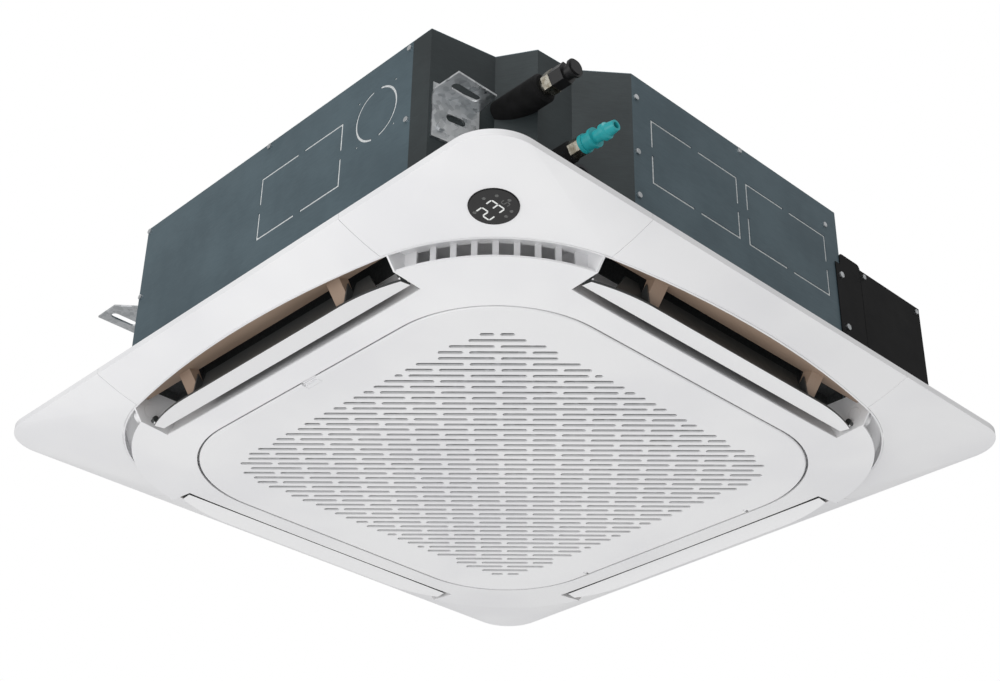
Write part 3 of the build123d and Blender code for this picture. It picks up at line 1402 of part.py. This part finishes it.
with BuildPart() as fan_nut:
    with BuildSketch(level(fan_hub_low)):
        RegularPolygon(2 * shaft_radius, 6, major_radius=False)
        Circle(shaft_radius + running_gap, mode=Mode.SUBTRACT)
    extrude(amount=-2 * shaft_radius)
fan_nut.part.label = "fan_nut"
export_step(fan_nut.part, "parts/fan_nut.step")

motor_bolt_radius = 3.0
with BuildPart() as fan_motor:
    with BuildSketch(level(motor_can_low)):
        Circle(motor_can_radius)
    extrude(amount=motor_can_high - motor_can_low)
    fillet(fan_motor.edges().sort_by(Axis.Z)[0], 8)
    with BuildSketch(level(motor_can_high)):
        RectangleRounded(2 * motor_flange_half, 2 * motor_flange_half, 12)
    extrude(amount=motor_flange_thickness)
    with BuildSketch(level(motor_can_high)):
        with Locations(*grommet_spots):
            Circle(motor_bolt_radius + fit_gap)
    extrude(amount=motor_flange_thickness, mode=Mode.SUBTRACT)
    with BuildSketch(level(motor_can_low)):
        Circle(shaft_radius + running_gap)
    extrude(amount=shaft_high + running_gap - motor_can_low, mode=Mode.SUBTRACT)
fan_motor.part.label = "fan_motor"
export_step(fan_motor.part, "parts/fan_motor.step")

grommet_low = motor_can_high + motor_flange_thickness
with BuildPart() as motor_grommets:
    with BuildSketch(level(grommet_low)):
        with Locations(*grommet_spots):
            Circle(grommet_radius)
            Circle(motor_bolt_radius + fit_gap, mode=Mode.SUBTRACT)
    extrude(amount=casing_top - sheet - grommet_low)
motor_grommets.part.label = "motor_grommets"
export_step(motor_grommets.part, "parts/motor_grommets.step")

motor_nut_height = 5.0
with BuildPart() as motor_bolts:
    with BuildSketch(level(casing_top)):
        with Locations(*grommet_spots):
            Circle(2 * motor_bolt_radius)
    extrude(amount=top_bead_height - 0.1)
    with BuildSketch(level(casing_top)):
        with Locations(*grommet_spots):
            Circle(motor_bolt_radius)
    extrude(amount=motor_can_high - motor_nut_height - casing_top)
    with BuildSketch(level(motor_can_high)):
        with Locations(*grommet_spots):
            RegularPolygon(motor_bolt_radius * 5 / 3, 6, major_radius=False)
    extrude(amount=-motor_nut_height)
motor_bolts.part.label = "motor_bolts"
export_step(motor_bolts.part, "parts/motor_bolts.step")

# ---------------------------------------------------------------- drain pump and float switch
chamber_low = pump_low + 2
chamber_height = 12.0
pump_shaft_radius = 2.0
pump_shaft_high = 78.0
with BuildPart() as drain_pump:
    with BuildSketch(level(pump_low)):
        with Locations(pump_place):
            Circle(pump_radius)
    extrude(amount=pump_high - pump_low)
    with BuildSketch(across(drain_x, drain_height, pump_place[1])):
        Circle(pump_radius / 3)
    extrude(amount=pump_place[1] - drain_start + 15)
    with BuildSketch(level(chamber_low)):
        with Locations(pump_place):
            Circle(impeller_radius + 2)
    extrude(amount=chamber_height, mode=Mode.SUBTRACT)
    with BuildSketch(level(pump_low)):
        with Locations(pump_place):
            Circle(pump_radius / 4)
    extrude(amount=2, mode=Mode.SUBTRACT)
    with BuildSketch(level(chamber_low)):
        with Locations(pump_place):
            Circle(pump_shaft_radius + running_gap)
    extrude(amount=pump_shaft_high + running_gap - chamber_low, mode=Mode.SUBTRACT)
drain_pump.part.label = "drain_pump"
export_step(drain_pump.part, "parts/drain_pump.step")

with BuildPart() as pump_impeller:
    with BuildSketch(level(chamber_low + running_gap)):
        with Locations(pump_place):
            Circle(impeller_radius)
    extrude(amount=2)
    with BuildSketch(level(chamber_low + running_gap)):
        with Locations(pump_place):
            Circle(2 * pump_shaft_radius)
            with PolarLocations(0, 4):
                Rectangle(impeller_radius - 1, 1.5, align=(Align.MIN, Align.CENTER))
    extrude(amount=chamber_height - 3)
    with BuildSketch(level(chamber_low + running_gap)):
        with Locations(pump_place):
            Circle(pump_shaft_radius)
    extrude(amount=pump_shaft_high - chamber_low - running_gap)
pump_impeller.part.label = "pump_impeller"
export_step(pump_impeller.part, "parts/pump_impeller.step")

bracket_strip_y = pump_place[1] + pump_radius - 4
with BuildPart() as pump_bracket:
    with BuildSketch(level(pump_high)):
        with Locations(pump_place):
            Rectangle(2 * pump_radius - 8, 2 * pump_radius - 8)
    extrude(amount=2)
    with BuildSketch(level(pump_high)):
        with Locations((pump_place[0], bracket_strip_y - 1)):
            Rectangle(20, 2)
    extrude(amount=casing_top - sheet - pump_high)
    with BuildSketch(level(casing_top - sheet)):
        with Locations((pump_place[0], bracket_strip_y - 2)):
            Rectangle(30, 24, align=(Align.CENTER, Align.MIN))
    extrude(amount=-2)
pump_bracket.part.label = "pump_bracket"
export_step(pump_bracket.part, "parts/pump_bracket.step")

float_low = 42.0
float_height = 12.0
stem_radius = 3.0
arm_low = float_low + float_height + float_travel + 2
with BuildPart() as float_switch:
    with BuildSketch(level(float_low - 2)):
        with Locations(float_place):
            Circle(stem_radius + 2)
    extrude(amount=2)
    with BuildSketch(level(float_low - 2)):
        with Locations(float_place):
            Circle(stem_radius)
    extrude(amount=arm_low + 6 - float_low + 2)
    with BuildSketch(level(arm_low)):
        with Locations(float_place):
            Circle(stem_radius + 3)
        with Locations(pump_place):
            Circle(pump_radius / 4)
        make_hull()
        with Locations(pump_place):
            Circle(pump_radius, mode=Mode.SUBTRACT)
    extrude(amount=6)
float_switch.part.label = "float_switch"
export_step(float_switch.part, "parts/float_switch.step")

with BuildPart() as switch_float:
    with BuildSketch(level(float_low + running_gap)):
        with Locations(float_place):
            Circle(float_radius)
            Circle(stem_radius + 2 * running_gap, mode=Mode.SUBTRACT)
    extrude(amount=float_height)
switch_float.part.label = "switch_float"
export_step(switch_float.part, "parts/switch_float.step")
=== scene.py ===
import math

import bmesh
import bpy
from mathutils import Matrix, Vector


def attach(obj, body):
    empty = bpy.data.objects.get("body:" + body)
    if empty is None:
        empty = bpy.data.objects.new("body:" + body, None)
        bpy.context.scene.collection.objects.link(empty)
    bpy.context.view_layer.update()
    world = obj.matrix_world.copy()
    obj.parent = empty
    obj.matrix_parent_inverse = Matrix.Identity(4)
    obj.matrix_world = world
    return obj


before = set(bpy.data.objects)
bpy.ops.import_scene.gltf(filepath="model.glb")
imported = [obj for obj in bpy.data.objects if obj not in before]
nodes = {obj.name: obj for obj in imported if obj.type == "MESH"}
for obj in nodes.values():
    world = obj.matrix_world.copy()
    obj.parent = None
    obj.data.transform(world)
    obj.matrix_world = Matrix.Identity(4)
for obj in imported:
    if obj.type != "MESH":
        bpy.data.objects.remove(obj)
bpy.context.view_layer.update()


# ---------------------------------------------------------------- shader nodes
def linear(red, green, blue):
    """A colour as the eye reads it, from 0 to 255, turned into the light values that a shader takes."""
    def one(value):
        value = value / 255
        return value / 12.92 if value <= 0.04045 else ((value + 0.055) / 1.055) ** 2.4
    return (one(red), one(green), one(blue), 1.0)


class Wire:
    """An output socket that can be reckoned with."""

    def __init__(self, finish, socket):
        self.finish = finish
        self.socket = socket

    def reckon(self, operation, first, second):
        return self.finish.node("ShaderNodeMath", {"operation": operation}, {0: first, 1: second})

    def __add__(self, other):
        return self.reckon("ADD", self, other)

    __radd__ = __add__

    def __rsub__(self, other):
        return self.reckon("SUBTRACT", other, self)

    def __mul__(self, other):
        return self.reckon("MULTIPLY", self, other)

    __rmul__ = __mul__

    def __gt__(self, other):
        return self.reckon("GREATER_THAN", self, other)

    def __lt__(self, other):
        return self.reckon("LESS_THAN", self, other)

    def clamp(self):
        return self.finish.node("ShaderNodeMath", {"operation": "ADD", "use_clamp": True}, {0: self, 1: 0.0})

    def step(self, low, high):
        """0 below low, 1 above high, smooth between."""
        return self.finish.node(
            "ShaderNodeMapRange",
            {"interpolation_type": "SMOOTHSTEP"},
            {"Value": self, "From Min": low, "From Max": high},
        )


class Finish:
    """A material with one main shader."""

    def __init__(self, name, colour, rough, metal=0.0):
        self.material = bpy.data.materials.new(name)
        self.material.use_nodes = True
        self.tree = self.material.node_tree
        self.shader = self.tree.nodes["Principled BSDF"]
        self.set("Base Color", colour)
        self.set("Roughness", rough)
        self.set("Metallic", metal)

    def set(self, name, value):
        if isinstance(value, Wire):
            self.tree.links.new(value.socket, self.shader.inputs[name])
        else:
            self.shader.inputs[name].default_value = value

    def node(self, kind, settings=None, inputs=None, output=0):
        made = self.tree.nodes.new(kind)
        for name, value in (settings or {}).items():
            setattr(made, name, value)
        for name, value in (inputs or {}).items():
            if isinstance(value, Wire):
                self.tree.links.new(value.socket, made.inputs[name])
            else:
                made.inputs[name].default_value = value
        return Wire(self, made.outputs[output])

    def place(self):
        """Where a point is on the resting part, in metres."""
        return self.node("ShaderNodeTexCoord", output="Object")

    def facing(self):
        """The way a face looks on the resting part."""
        return self.node("ShaderNodeTexCoord", output="Normal")

    def parts(self, vector):
        split = self.node("ShaderNodeSeparateXYZ", {}, {0: vector})
        outputs = split.socket.node.outputs
        return Wire(self, outputs[0]), Wire(self, outputs[1]), Wire(self, outputs[2])

    def noise(self, scale, detail=3.0, rough=0.5, stretch=None):
        spot = self.place()
        if stretch:
            spot = self.node("ShaderNodeMapping", {}, {"Vector": spot, "Scale": stretch})
        return self.node(
            "ShaderNodeTexNoise", {}, {"Vector": spot, "Scale": scale, "Detail": detail, "Roughness": rough}
        )

    def blend(self, factor, first, second):
        """A colour between two others."""
        return self.node("ShaderNodeMix", {"data_type": "RGBA"}, {0: factor, 6: first, 7: second}, output=2)

    def bump(self, height, strength, depth):
        self.set("Normal", self.node(
            "ShaderNodeBump", {}, {"Height": height, "Strength": strength, "Distance": depth}
        ))


def moulded(name, colour, darker, rough, grain=2600, depth=0.00006):
    """Moulded plastic: a fine spark-eroded grain and a slight cloudiness."""
    made = Finish(name, colour, rough)
    cloud = made.noise(6, 2)
    made.set("Base Color", made.blend(cloud.step(0.35, 0.7), colour, darker))
    made.set("Roughness", rough + 0.12 * made.noise(40, 3))
    made.bump(made.noise(grain, 2), 0.25, depth)
    return made


def coated_sheet(name, colour, darker, rough, metal=0.35):
    """Coated sheet steel: a faint mottle, fine rolling lines and a few rub marks."""
    made = Finish(name, colour, rough, metal)
    mottle = made.noise(9, 4, 0.6)
    lines = made.noise(60, 4, 0.6, (1, 1, 14))
    tone = (0.65 * mottle + 0.35 * lines).step(0.36, 0.66)
    made.set("Base Color", made.blend(tone, darker, colour))
    made.set("Roughness", rough - 0.05 + 0.18 * made.noise(25, 5, 0.65))
    made.bump(made.noise(900, 3), 0.18, 0.0001)
    return made


def finish(made, *names):
    """The finish is given to the CAD pieces of these names."""
    for name in names:
        mesh = nodes[name].data
        mesh.materials.clear()
        mesh.materials.append(made.material)
    return made


white = linear(234, 234, 235)
white_shade = linear(228, 228, 230)
finish(
    moulded("white_moulding", white, white_shade, 0.36),
    "panel_frame", "corner_cover_pipe_corner", "corner_cover_right", "corner_cover_back", "corner_cover_left",
    "intake_grille", "grille_latch", "louvre_motors",
)
finish(
    coated_sheet("slate_sheet", linear(84, 102, 110), linear(72, 89, 97), 0.42),
    "casing_left", "casing_back", "casing_right", "casing_front", "top_plate",
)
# the pipe corner's notch: the casing's slate paint made darker, as painted shade
finish(
    coated_sheet("shaded_slate_sheet", linear(52, 60, 62), linear(42, 49, 51), 0.45), "casing_pipe_corner",
)
black_sheet = finish(
    coated_sheet("black_sheet", linear(9, 9, 10), linear(5, 5, 6), 0.5, 0.0),
    "electrical_box", "electrical_box_lid",
)
black_sheet.set("Specular IOR Level", 0.14)
finish(
    moulded("taupe_moulding", linear(168, 146, 128), linear(154, 132, 115), 0.42),
    "outlet_liners",
)
finish(
    moulded("charcoal_moulding", linear(46, 48, 52), linear(38, 40, 44), 0.5, 900, 0.0001),
    "bell_mouth", "turbo_fan", "drain_socket", "drain_pump", "pump_impeller", "float_switch", "switch_float",
)

# galvanised steel: flat crystals that catch the light each in its own way
zinc = finish(
    Finish("zinc_steel", linear(205, 208, 210), 0.34, 1.0),
    "hanger_pipe_corner", "hanger_right", "hanger_back", "hanger_left", "hanger_bolts", "casing_screws",
    "box_screws", "motor_bolts", "fan_nut", "pump_bracket", "coil_end_plates", "motor_shaft",
    "grille_hinge_pins",
)
flakes = zinc.node("ShaderNodeTexVoronoi", {}, {"Vector": zinc.place(), "Scale": 160.0}, output="Color")
flake_tone = zinc.parts(flakes)[0]
zinc.set("Base Color", zinc.blend(flake_tone, linear(184, 188, 190), linear(224, 226, 228)))
zinc.set("Roughness", 0.26 + 0.22 * flake_tone)
zinc.bump(zinc.noise(300, 3), 0.15, 0.0001)

# the foams: the black pipe foam, then the beaded foam of the casing and the pan
black_foam = finish(
    Finish("black_foam", linear(14, 14, 15), 0.8),
    "gas_pipe_sleeve", "liquid_pipe_sleeve", "drain_plug", "motor_grommets",
)
foam_tone = black_foam.noise(70, 3).step(0.3, 0.7)
black_foam.set("Base Color", black_foam.blend(foam_tone, linear(9, 9, 10), linear(20, 20, 21)))
black_foam.set("Specular IOR Level", 0.2)
black_foam.bump(black_foam.noise(1500, 4, 0.7), 0.6, 0.0004)


def bead_foam(name, colour, bead, seam, strength, depth):
    """Expanded foam: beads pressed together, with darker seams between them."""
    made = Finish(name, colour, 0.85)
    cells = made.node("ShaderNodeTexVoronoi", {}, {"Vector": made.place(), "Scale": 330.0}, output="Distance")
    made.set("Base Color", made.blend(cells.step(0.1, 0.7), bead, seam))
    made.bump(1 - cells, strength, depth)
    return made


finish(
    bead_foam("pale_foam", linear(226, 228, 228), linear(230, 232, 232), linear(208, 211, 212), 0.5, 0.0006),
    "casing_foam",
)
# the drain pan: beaded foam made dark grey, as painted shade of the unit's inside seen through the outlets
finish(
    bead_foam("pan_foam", linear(58, 60, 61), linear(64, 66, 67), linear(50, 52, 53), 0.3, 0.0004),
    "drain_pan",
)

# fittings
finish(moulded("black_cap", linear(20, 20, 21), linear(15, 15, 16), 0.3, 700, 0.0001), "gas_pipe_cap")
finish(moulded("teal_cap", linear(38, 165, 170), linear(26, 150, 156), 0.28, 500, 0.0001), "liquid_pipe_cap")
nut = finish(Finish("nut_brass", linear(170, 164, 150), 0.25, 1.0), "gas_flare_nut", "liquid_flare_nut")
nut_stain = nut.noise(120, 4).step(0.35, 0.7)
nut.set("Base Color", nut.blend(nut_stain, linear(186, 182, 170), linear(136, 128, 112)))
nut.set("Roughness", 0.18 + 0.2 * nut.noise(260, 3))
copper = finish(
    Finish("copper_tube", linear(205, 128, 92), 0.3, 1.0), "gas_pipe", "liquid_pipe", "coil_tubes"
)
tarnish = copper.noise(60, 4).step(0.35, 0.7)
copper.set("Base Color", copper.blend(tarnish, linear(214, 138, 100), linear(170, 98, 68)))
copper.set("Roughness", 0.22 + 0.22 * copper.noise(200, 3))

# the fin pack, as fine upright lines; the dark between the lines is painted shade in the gaps between the fins
fins = finish(Finish("fin_pack", linear(196, 200, 204), 0.4, 0.9), "heat_exchanger")
fin_lines_per_radian = 1100
fin_x, fin_y, _ = fins.parts(fins.place())
fin_turn = fins.node("ShaderNodeMath", {"operation": "ARCTAN2"}, {0: fin_y, 1: fin_x})
fin_line = fins.node("ShaderNodeMath", {"operation": "SINE"}, {0: fin_turn * fin_lines_per_radian})
fins.set("Base Color", fins.blend(fin_line.step(-0.4, 0.9), linear(70, 74, 78), linear(206, 210, 214)))
fins.bump(fin_line, 0.5, 0.0006)

board = finish(Finish("circuit_board", linear(40, 96, 62), 0.4), "control_board")
board_marks = board.noise(300, 2).step(0.55, 0.6)
board.set("Base Color", board.blend(board_marks, linear(30, 84, 52), linear(196, 182, 120)))
finish(coated_sheet("motor_can", linear(96, 98, 102), linear(82, 84, 88), 0.35, 0.8), "fan_motor")

# the filter: a grey woven net
net_threads = 4200
net = finish(Finish("filter_net", linear(176, 179, 184), 0.7), "air_filter")
net_x, net_y, _ = net.parts(net.place())
threads_x = net.node("ShaderNodeMath", {"operation": "SINE"}, {0: net_x * net_threads})
threads_y = net.node("ShaderNodeMath", {"operation": "SINE"}, {0: net_y * net_threads})
weave = (threads_x * threads_y).step(-0.6, 0.6)
net.set("Base Color", net.blend(weave, linear(104, 106, 109), linear(140, 142, 145)))
net.bump(weave, 0.6, 0.0004)

# louvres: white and softly grained towards the room, dark and polished where the air passes
strip_top_z = -0.1985
blade = finish(
    Finish("louvre_faces", white, 0.3), "louvre_right", "louvre_back", "louvre_left", "louvre_front"
)
height = blade.parts(blade.place())[2]
looks_down = blade.parts(blade.facing())[2] < -0.6
air_side = ((height > strip_top_z) + (1 - looks_down)).clamp()
blade.set("Base Color", blade.blend(air_side, white, linear(62, 64, 64)))
blade.set("Roughness", 0.4 - 0.12 * air_side + 0.05 * blade.noise(60, 3))
blade.bump(blade.noise(2200, 2), 0.12, 0.00005)

glass = finish(Finish("display_glass", linear(5, 5, 6), 0.2), "display_module")
glass.set("Roughness", 0.16 + 0.08 * glass.noise(90, 3))
glass.set("Specular IOR Level", 0.2)


# ---------------------------------------------------------------- figures on the display's glass
def flat_piece(name, outlines, origin, right, up, low, high):
    """Flat shapes of one thickness as one mesh; each outline is a list of (right, up) points in metres."""
    out = right.cross(up)
    made = bmesh.new()
    for outline in outlines:
        rings = []
        for level in (low, high):
            rings.append([made.verts.new(origin + right * x + up * y + out * level) for x, y in outline])
        made.faces.new(list(reversed(rings[0])))
        made.faces.new(rings[1])
        for here in range(len(outline)):
            after = (here + 1) % len(outline)
            made.faces.new((rings[0][here], rings[0][after], rings[1][after], rings[1][here]))
    mesh = bpy.data.meshes.new(name)
    made.to_mesh(mesh)
    made.free()
    piece = bpy.data.objects.new(name, mesh)
    scene.collection.objects.link(piece)
    return piece


def bar(start, end, half_width, gap):
    """One lit bar of a figure, pointed at both ends."""
    along = (Vector(end) - Vector(start)).normalized()
    across = Vector((-along.y, along.x)) * half_width
    first = Vector(start) + along * gap
    last = Vector(end) - along * gap
    point = along * half_width
    return [
        tuple(corner)
        for corner in (first, first + point - across, last - point - across, last,
                       last - point + across, first + point + across)
    ]


# the seven bars of a figure: across in widths, up in half heights
bar_ends = {
    "top": ((0, 2), (1, 2)), "upper_right": ((1, 2), (1, 1)), "lower_right": ((1, 1), (1, 0)),
    "bottom": ((1, 0), (0, 0)), "lower_left": ((0, 0), (0, 1)), "upper_left": ((0, 1), (0, 2)),
    "middle": ((0, 1), (1, 1)),
}
figures = {
    "2": ("top", "upper_right", "middle", "lower_left", "bottom"),
    "3": ("top", "upper_right", "middle", "lower_right", "bottom"),
    "5": ("top", "upper_left", "middle", "lower_right", "bottom"),
}


def figure(digit, left, foot, width, height, half_width):
    """The outlines of a digit's bars, from its left foot on the glass."""
    gap = half_width * 0.35
    bars = []
    for name in figures[digit]:
        ends = [(left + x * width, foot + y * height / 2) for x, y in bar_ends[name]]
        bars.append(bar(*ends, half_width, gap))
    return bars


def dot(centre, radius, corners):
    """The outline of a round icon."""
    turns = [math.tau * corner / corners for corner in range(corners)]
    return [(centre[0] + radius * math.cos(turn), centre[1] + radius * math.sin(turn)) for turn in turns]


scene = bpy.context.scene
glass_points = nodes["display_module"].data.vertices
glass_faces = [face for face in nodes["display_module"].data.polygons if face.normal.z < -0.9]
largest_area = max(face.area for face in glass_faces)
glass_face = [face for face in glass_faces if face.area >= largest_area * 0.999][0]
glass_normal = glass_face.normal.copy()
glass_level = glass_face.center.dot(glass_normal)
same_level = 2e-5
rim_points = [point.co for point in glass_points if abs(point.co.dot(glass_normal) - glass_level) < same_level]
glass_centre = sum(rim_points, Vector()) / len(rim_points)
read_right = (Vector((0, -1, 0)) - glass_normal * Vector((0, -1, 0)).dot(glass_normal)).normalized()
read_up = glass_normal.cross(read_right)

# sizes on the glass, in metres: right and up from its centre
bar_half_width = 0.0009
small_bar_half_width = 0.0006
icon_radius = 0.0021
icon_corners = 14
icon_places = (
    (-0.0205, 0.0085), (0.0020, 0.0165), (0.0145, 0.0100), (0.0190, -0.0040), (0.0085, -0.0175), (-0.0010, -0.0190),
)
sunk = -0.0002
figures_raised = 0.00012
icons_raised = 0.00008
large_figures = figure("2", -0.0180, -0.0105, 0.0088, 0.0192, bar_half_width)
large_figures += figure("3", -0.0026, -0.0100, 0.0086, 0.0192, bar_half_width)
small_marks = figure("5", 0.0104, -0.0090, 0.0052, 0.0090, small_bar_half_width)
small_marks += [dot(place, icon_radius, icon_corners) for place in icon_places]
lit_figures = flat_piece(
    "display_figures", large_figures, glass_centre, read_right, read_up, sunk, figures_raised
)
dim_figures = flat_piece("display_icons", small_marks, glass_centre, read_right, read_up, sunk, icons_raised)

lit = Finish("figure_lit", linear(232, 234, 232), 0.5)
lit.set("Base Color", lit.blend(lit.noise(900, 2), linear(236, 238, 236), linear(222, 224, 222)))
lit_figures.data.materials.append(lit.material)
dim = Finish("figure_dim", linear(84, 85, 84), 0.5)
dim.set("Base Color", dim.blend(dim.noise(900, 2).step(0.3, 0.7), linear(96, 97, 96), linear(60, 61, 60)))
dim_figures.data.materials.append(dim.material)
for piece in (lit_figures, dim_figures):
    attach(piece, "casing")

# ---------------------------------------------------------------- stage, light and camera
scene.view_settings.view_transform = "Standard"


def see_white(tree, strength_socket, light_level, seen_level):
    """The sky lights the part at its own level, and is plain white to the camera, straight or through glass."""
    path = tree.nodes.new("ShaderNodeLightPath")
    total = tree.nodes.new("ShaderNodeMath")
    total.operation = "ADD"
    total.use_clamp = True
    tree.links.new(path.outputs["Is Camera Ray"], total.inputs[0])
    tree.links.new(path.outputs["Is Transmission Ray"], total.inputs[1])
    level = tree.nodes.new("ShaderNodeMapRange")
    level.inputs["To Min"].default_value = light_level
    level.inputs["To Max"].default_value = seen_level
    tree.links.new(total.outputs[0], level.inputs["Value"])
    tree.links.new(level.outputs[0], strength_socket)


world = bpy.data.worlds.new("studio")
scene.world = world
world.use_nodes = True
background = world.node_tree.nodes["Background"]
background.inputs["Color"].default_value = (1, 1, 1, 1)
see_white(world.node_tree, background.inputs["Strength"], 0.5, 1.0)

floor_half = 14
floor_z = -4.5
floor_corners = [
    (-floor_half, -floor_half, floor_z), (floor_half, -floor_half, floor_z),
    (floor_half, floor_half, floor_z), (-floor_half, floor_half, floor_z),
]
floor_mesh = bpy.data.meshes.new("floor")
floor_mesh.from_pydata(floor_corners, [], [(0, 1, 2, 3)])
floor = bpy.data.objects.new("floor", floor_mesh)
scene.collection.objects.link(floor)
floor_finish = Finish("floor_paint", (0.9, 0.9, 0.9, 1), 0.9)
floor_tone = floor_finish.noise(3, 2)
floor_finish.set("Base Color", floor_finish.blend(floor_tone, (0.88, 0.88, 0.88, 1), (0.93, 0.93, 0.93, 1)))
floor_mesh.materials.append(floor_finish.material)


def lamp(name, place, target, size, power):
    data = bpy.data.lights.new(name, "AREA")
    data.shape = "SQUARE"
    data.size = size
    data.energy = power
    made = bpy.data.objects.new(name, data)
    made.location = place
    made.rotation_euler = (Vector(target) - Vector(place)).to_track_quat("-Z", "Y").to_euler()
    scene.collection.objects.link(made)


part_middle = (0, 0, -0.1)
lamp("key", (-3.6, -1.6, -2.9), part_middle, 3.0, 70)
lamp("fill", (-4.0, 0.4, -0.9), part_middle, 2.4, 34)
lamp("low", (1.2, 1.0, -4.0), part_middle, 3.0, 44)
lamp("top", (-1.5, -1.5, 3.6), (0, 0, 0), 3.0, 60)

# the camera, as solved from the photograph
camera_place = (-1.3981, -1.4597, -1.2449)
looks_up = math.radians(31.41)
roll = math.radians(0.91)
level_x = 0.690
level_y = 0.724
forward = Vector((level_x * math.cos(looks_up), level_y * math.cos(looks_up), math.sin(looks_up))).normalized()
side = forward.cross(Vector((0, 0, 1))).normalized()
upward = side.cross(forward)
camera_right = side * math.cos(roll) + upward * math.sin(roll)
camera_up = upward * math.cos(roll) - side * math.sin(roll)
camera_data = bpy.data.cameras.new("camera")
camera_data.sensor_width = 36
camera_data.lens = 62.2
camera = bpy.data.objects.new("camera", camera_data)
turned = Matrix((camera_right, camera_up, -forward)).transposed()
camera.matrix_world = Matrix.Translation(camera_place) @ turned.to_4x4()
scene.collection.objects.link(camera)
scene.camera = camera
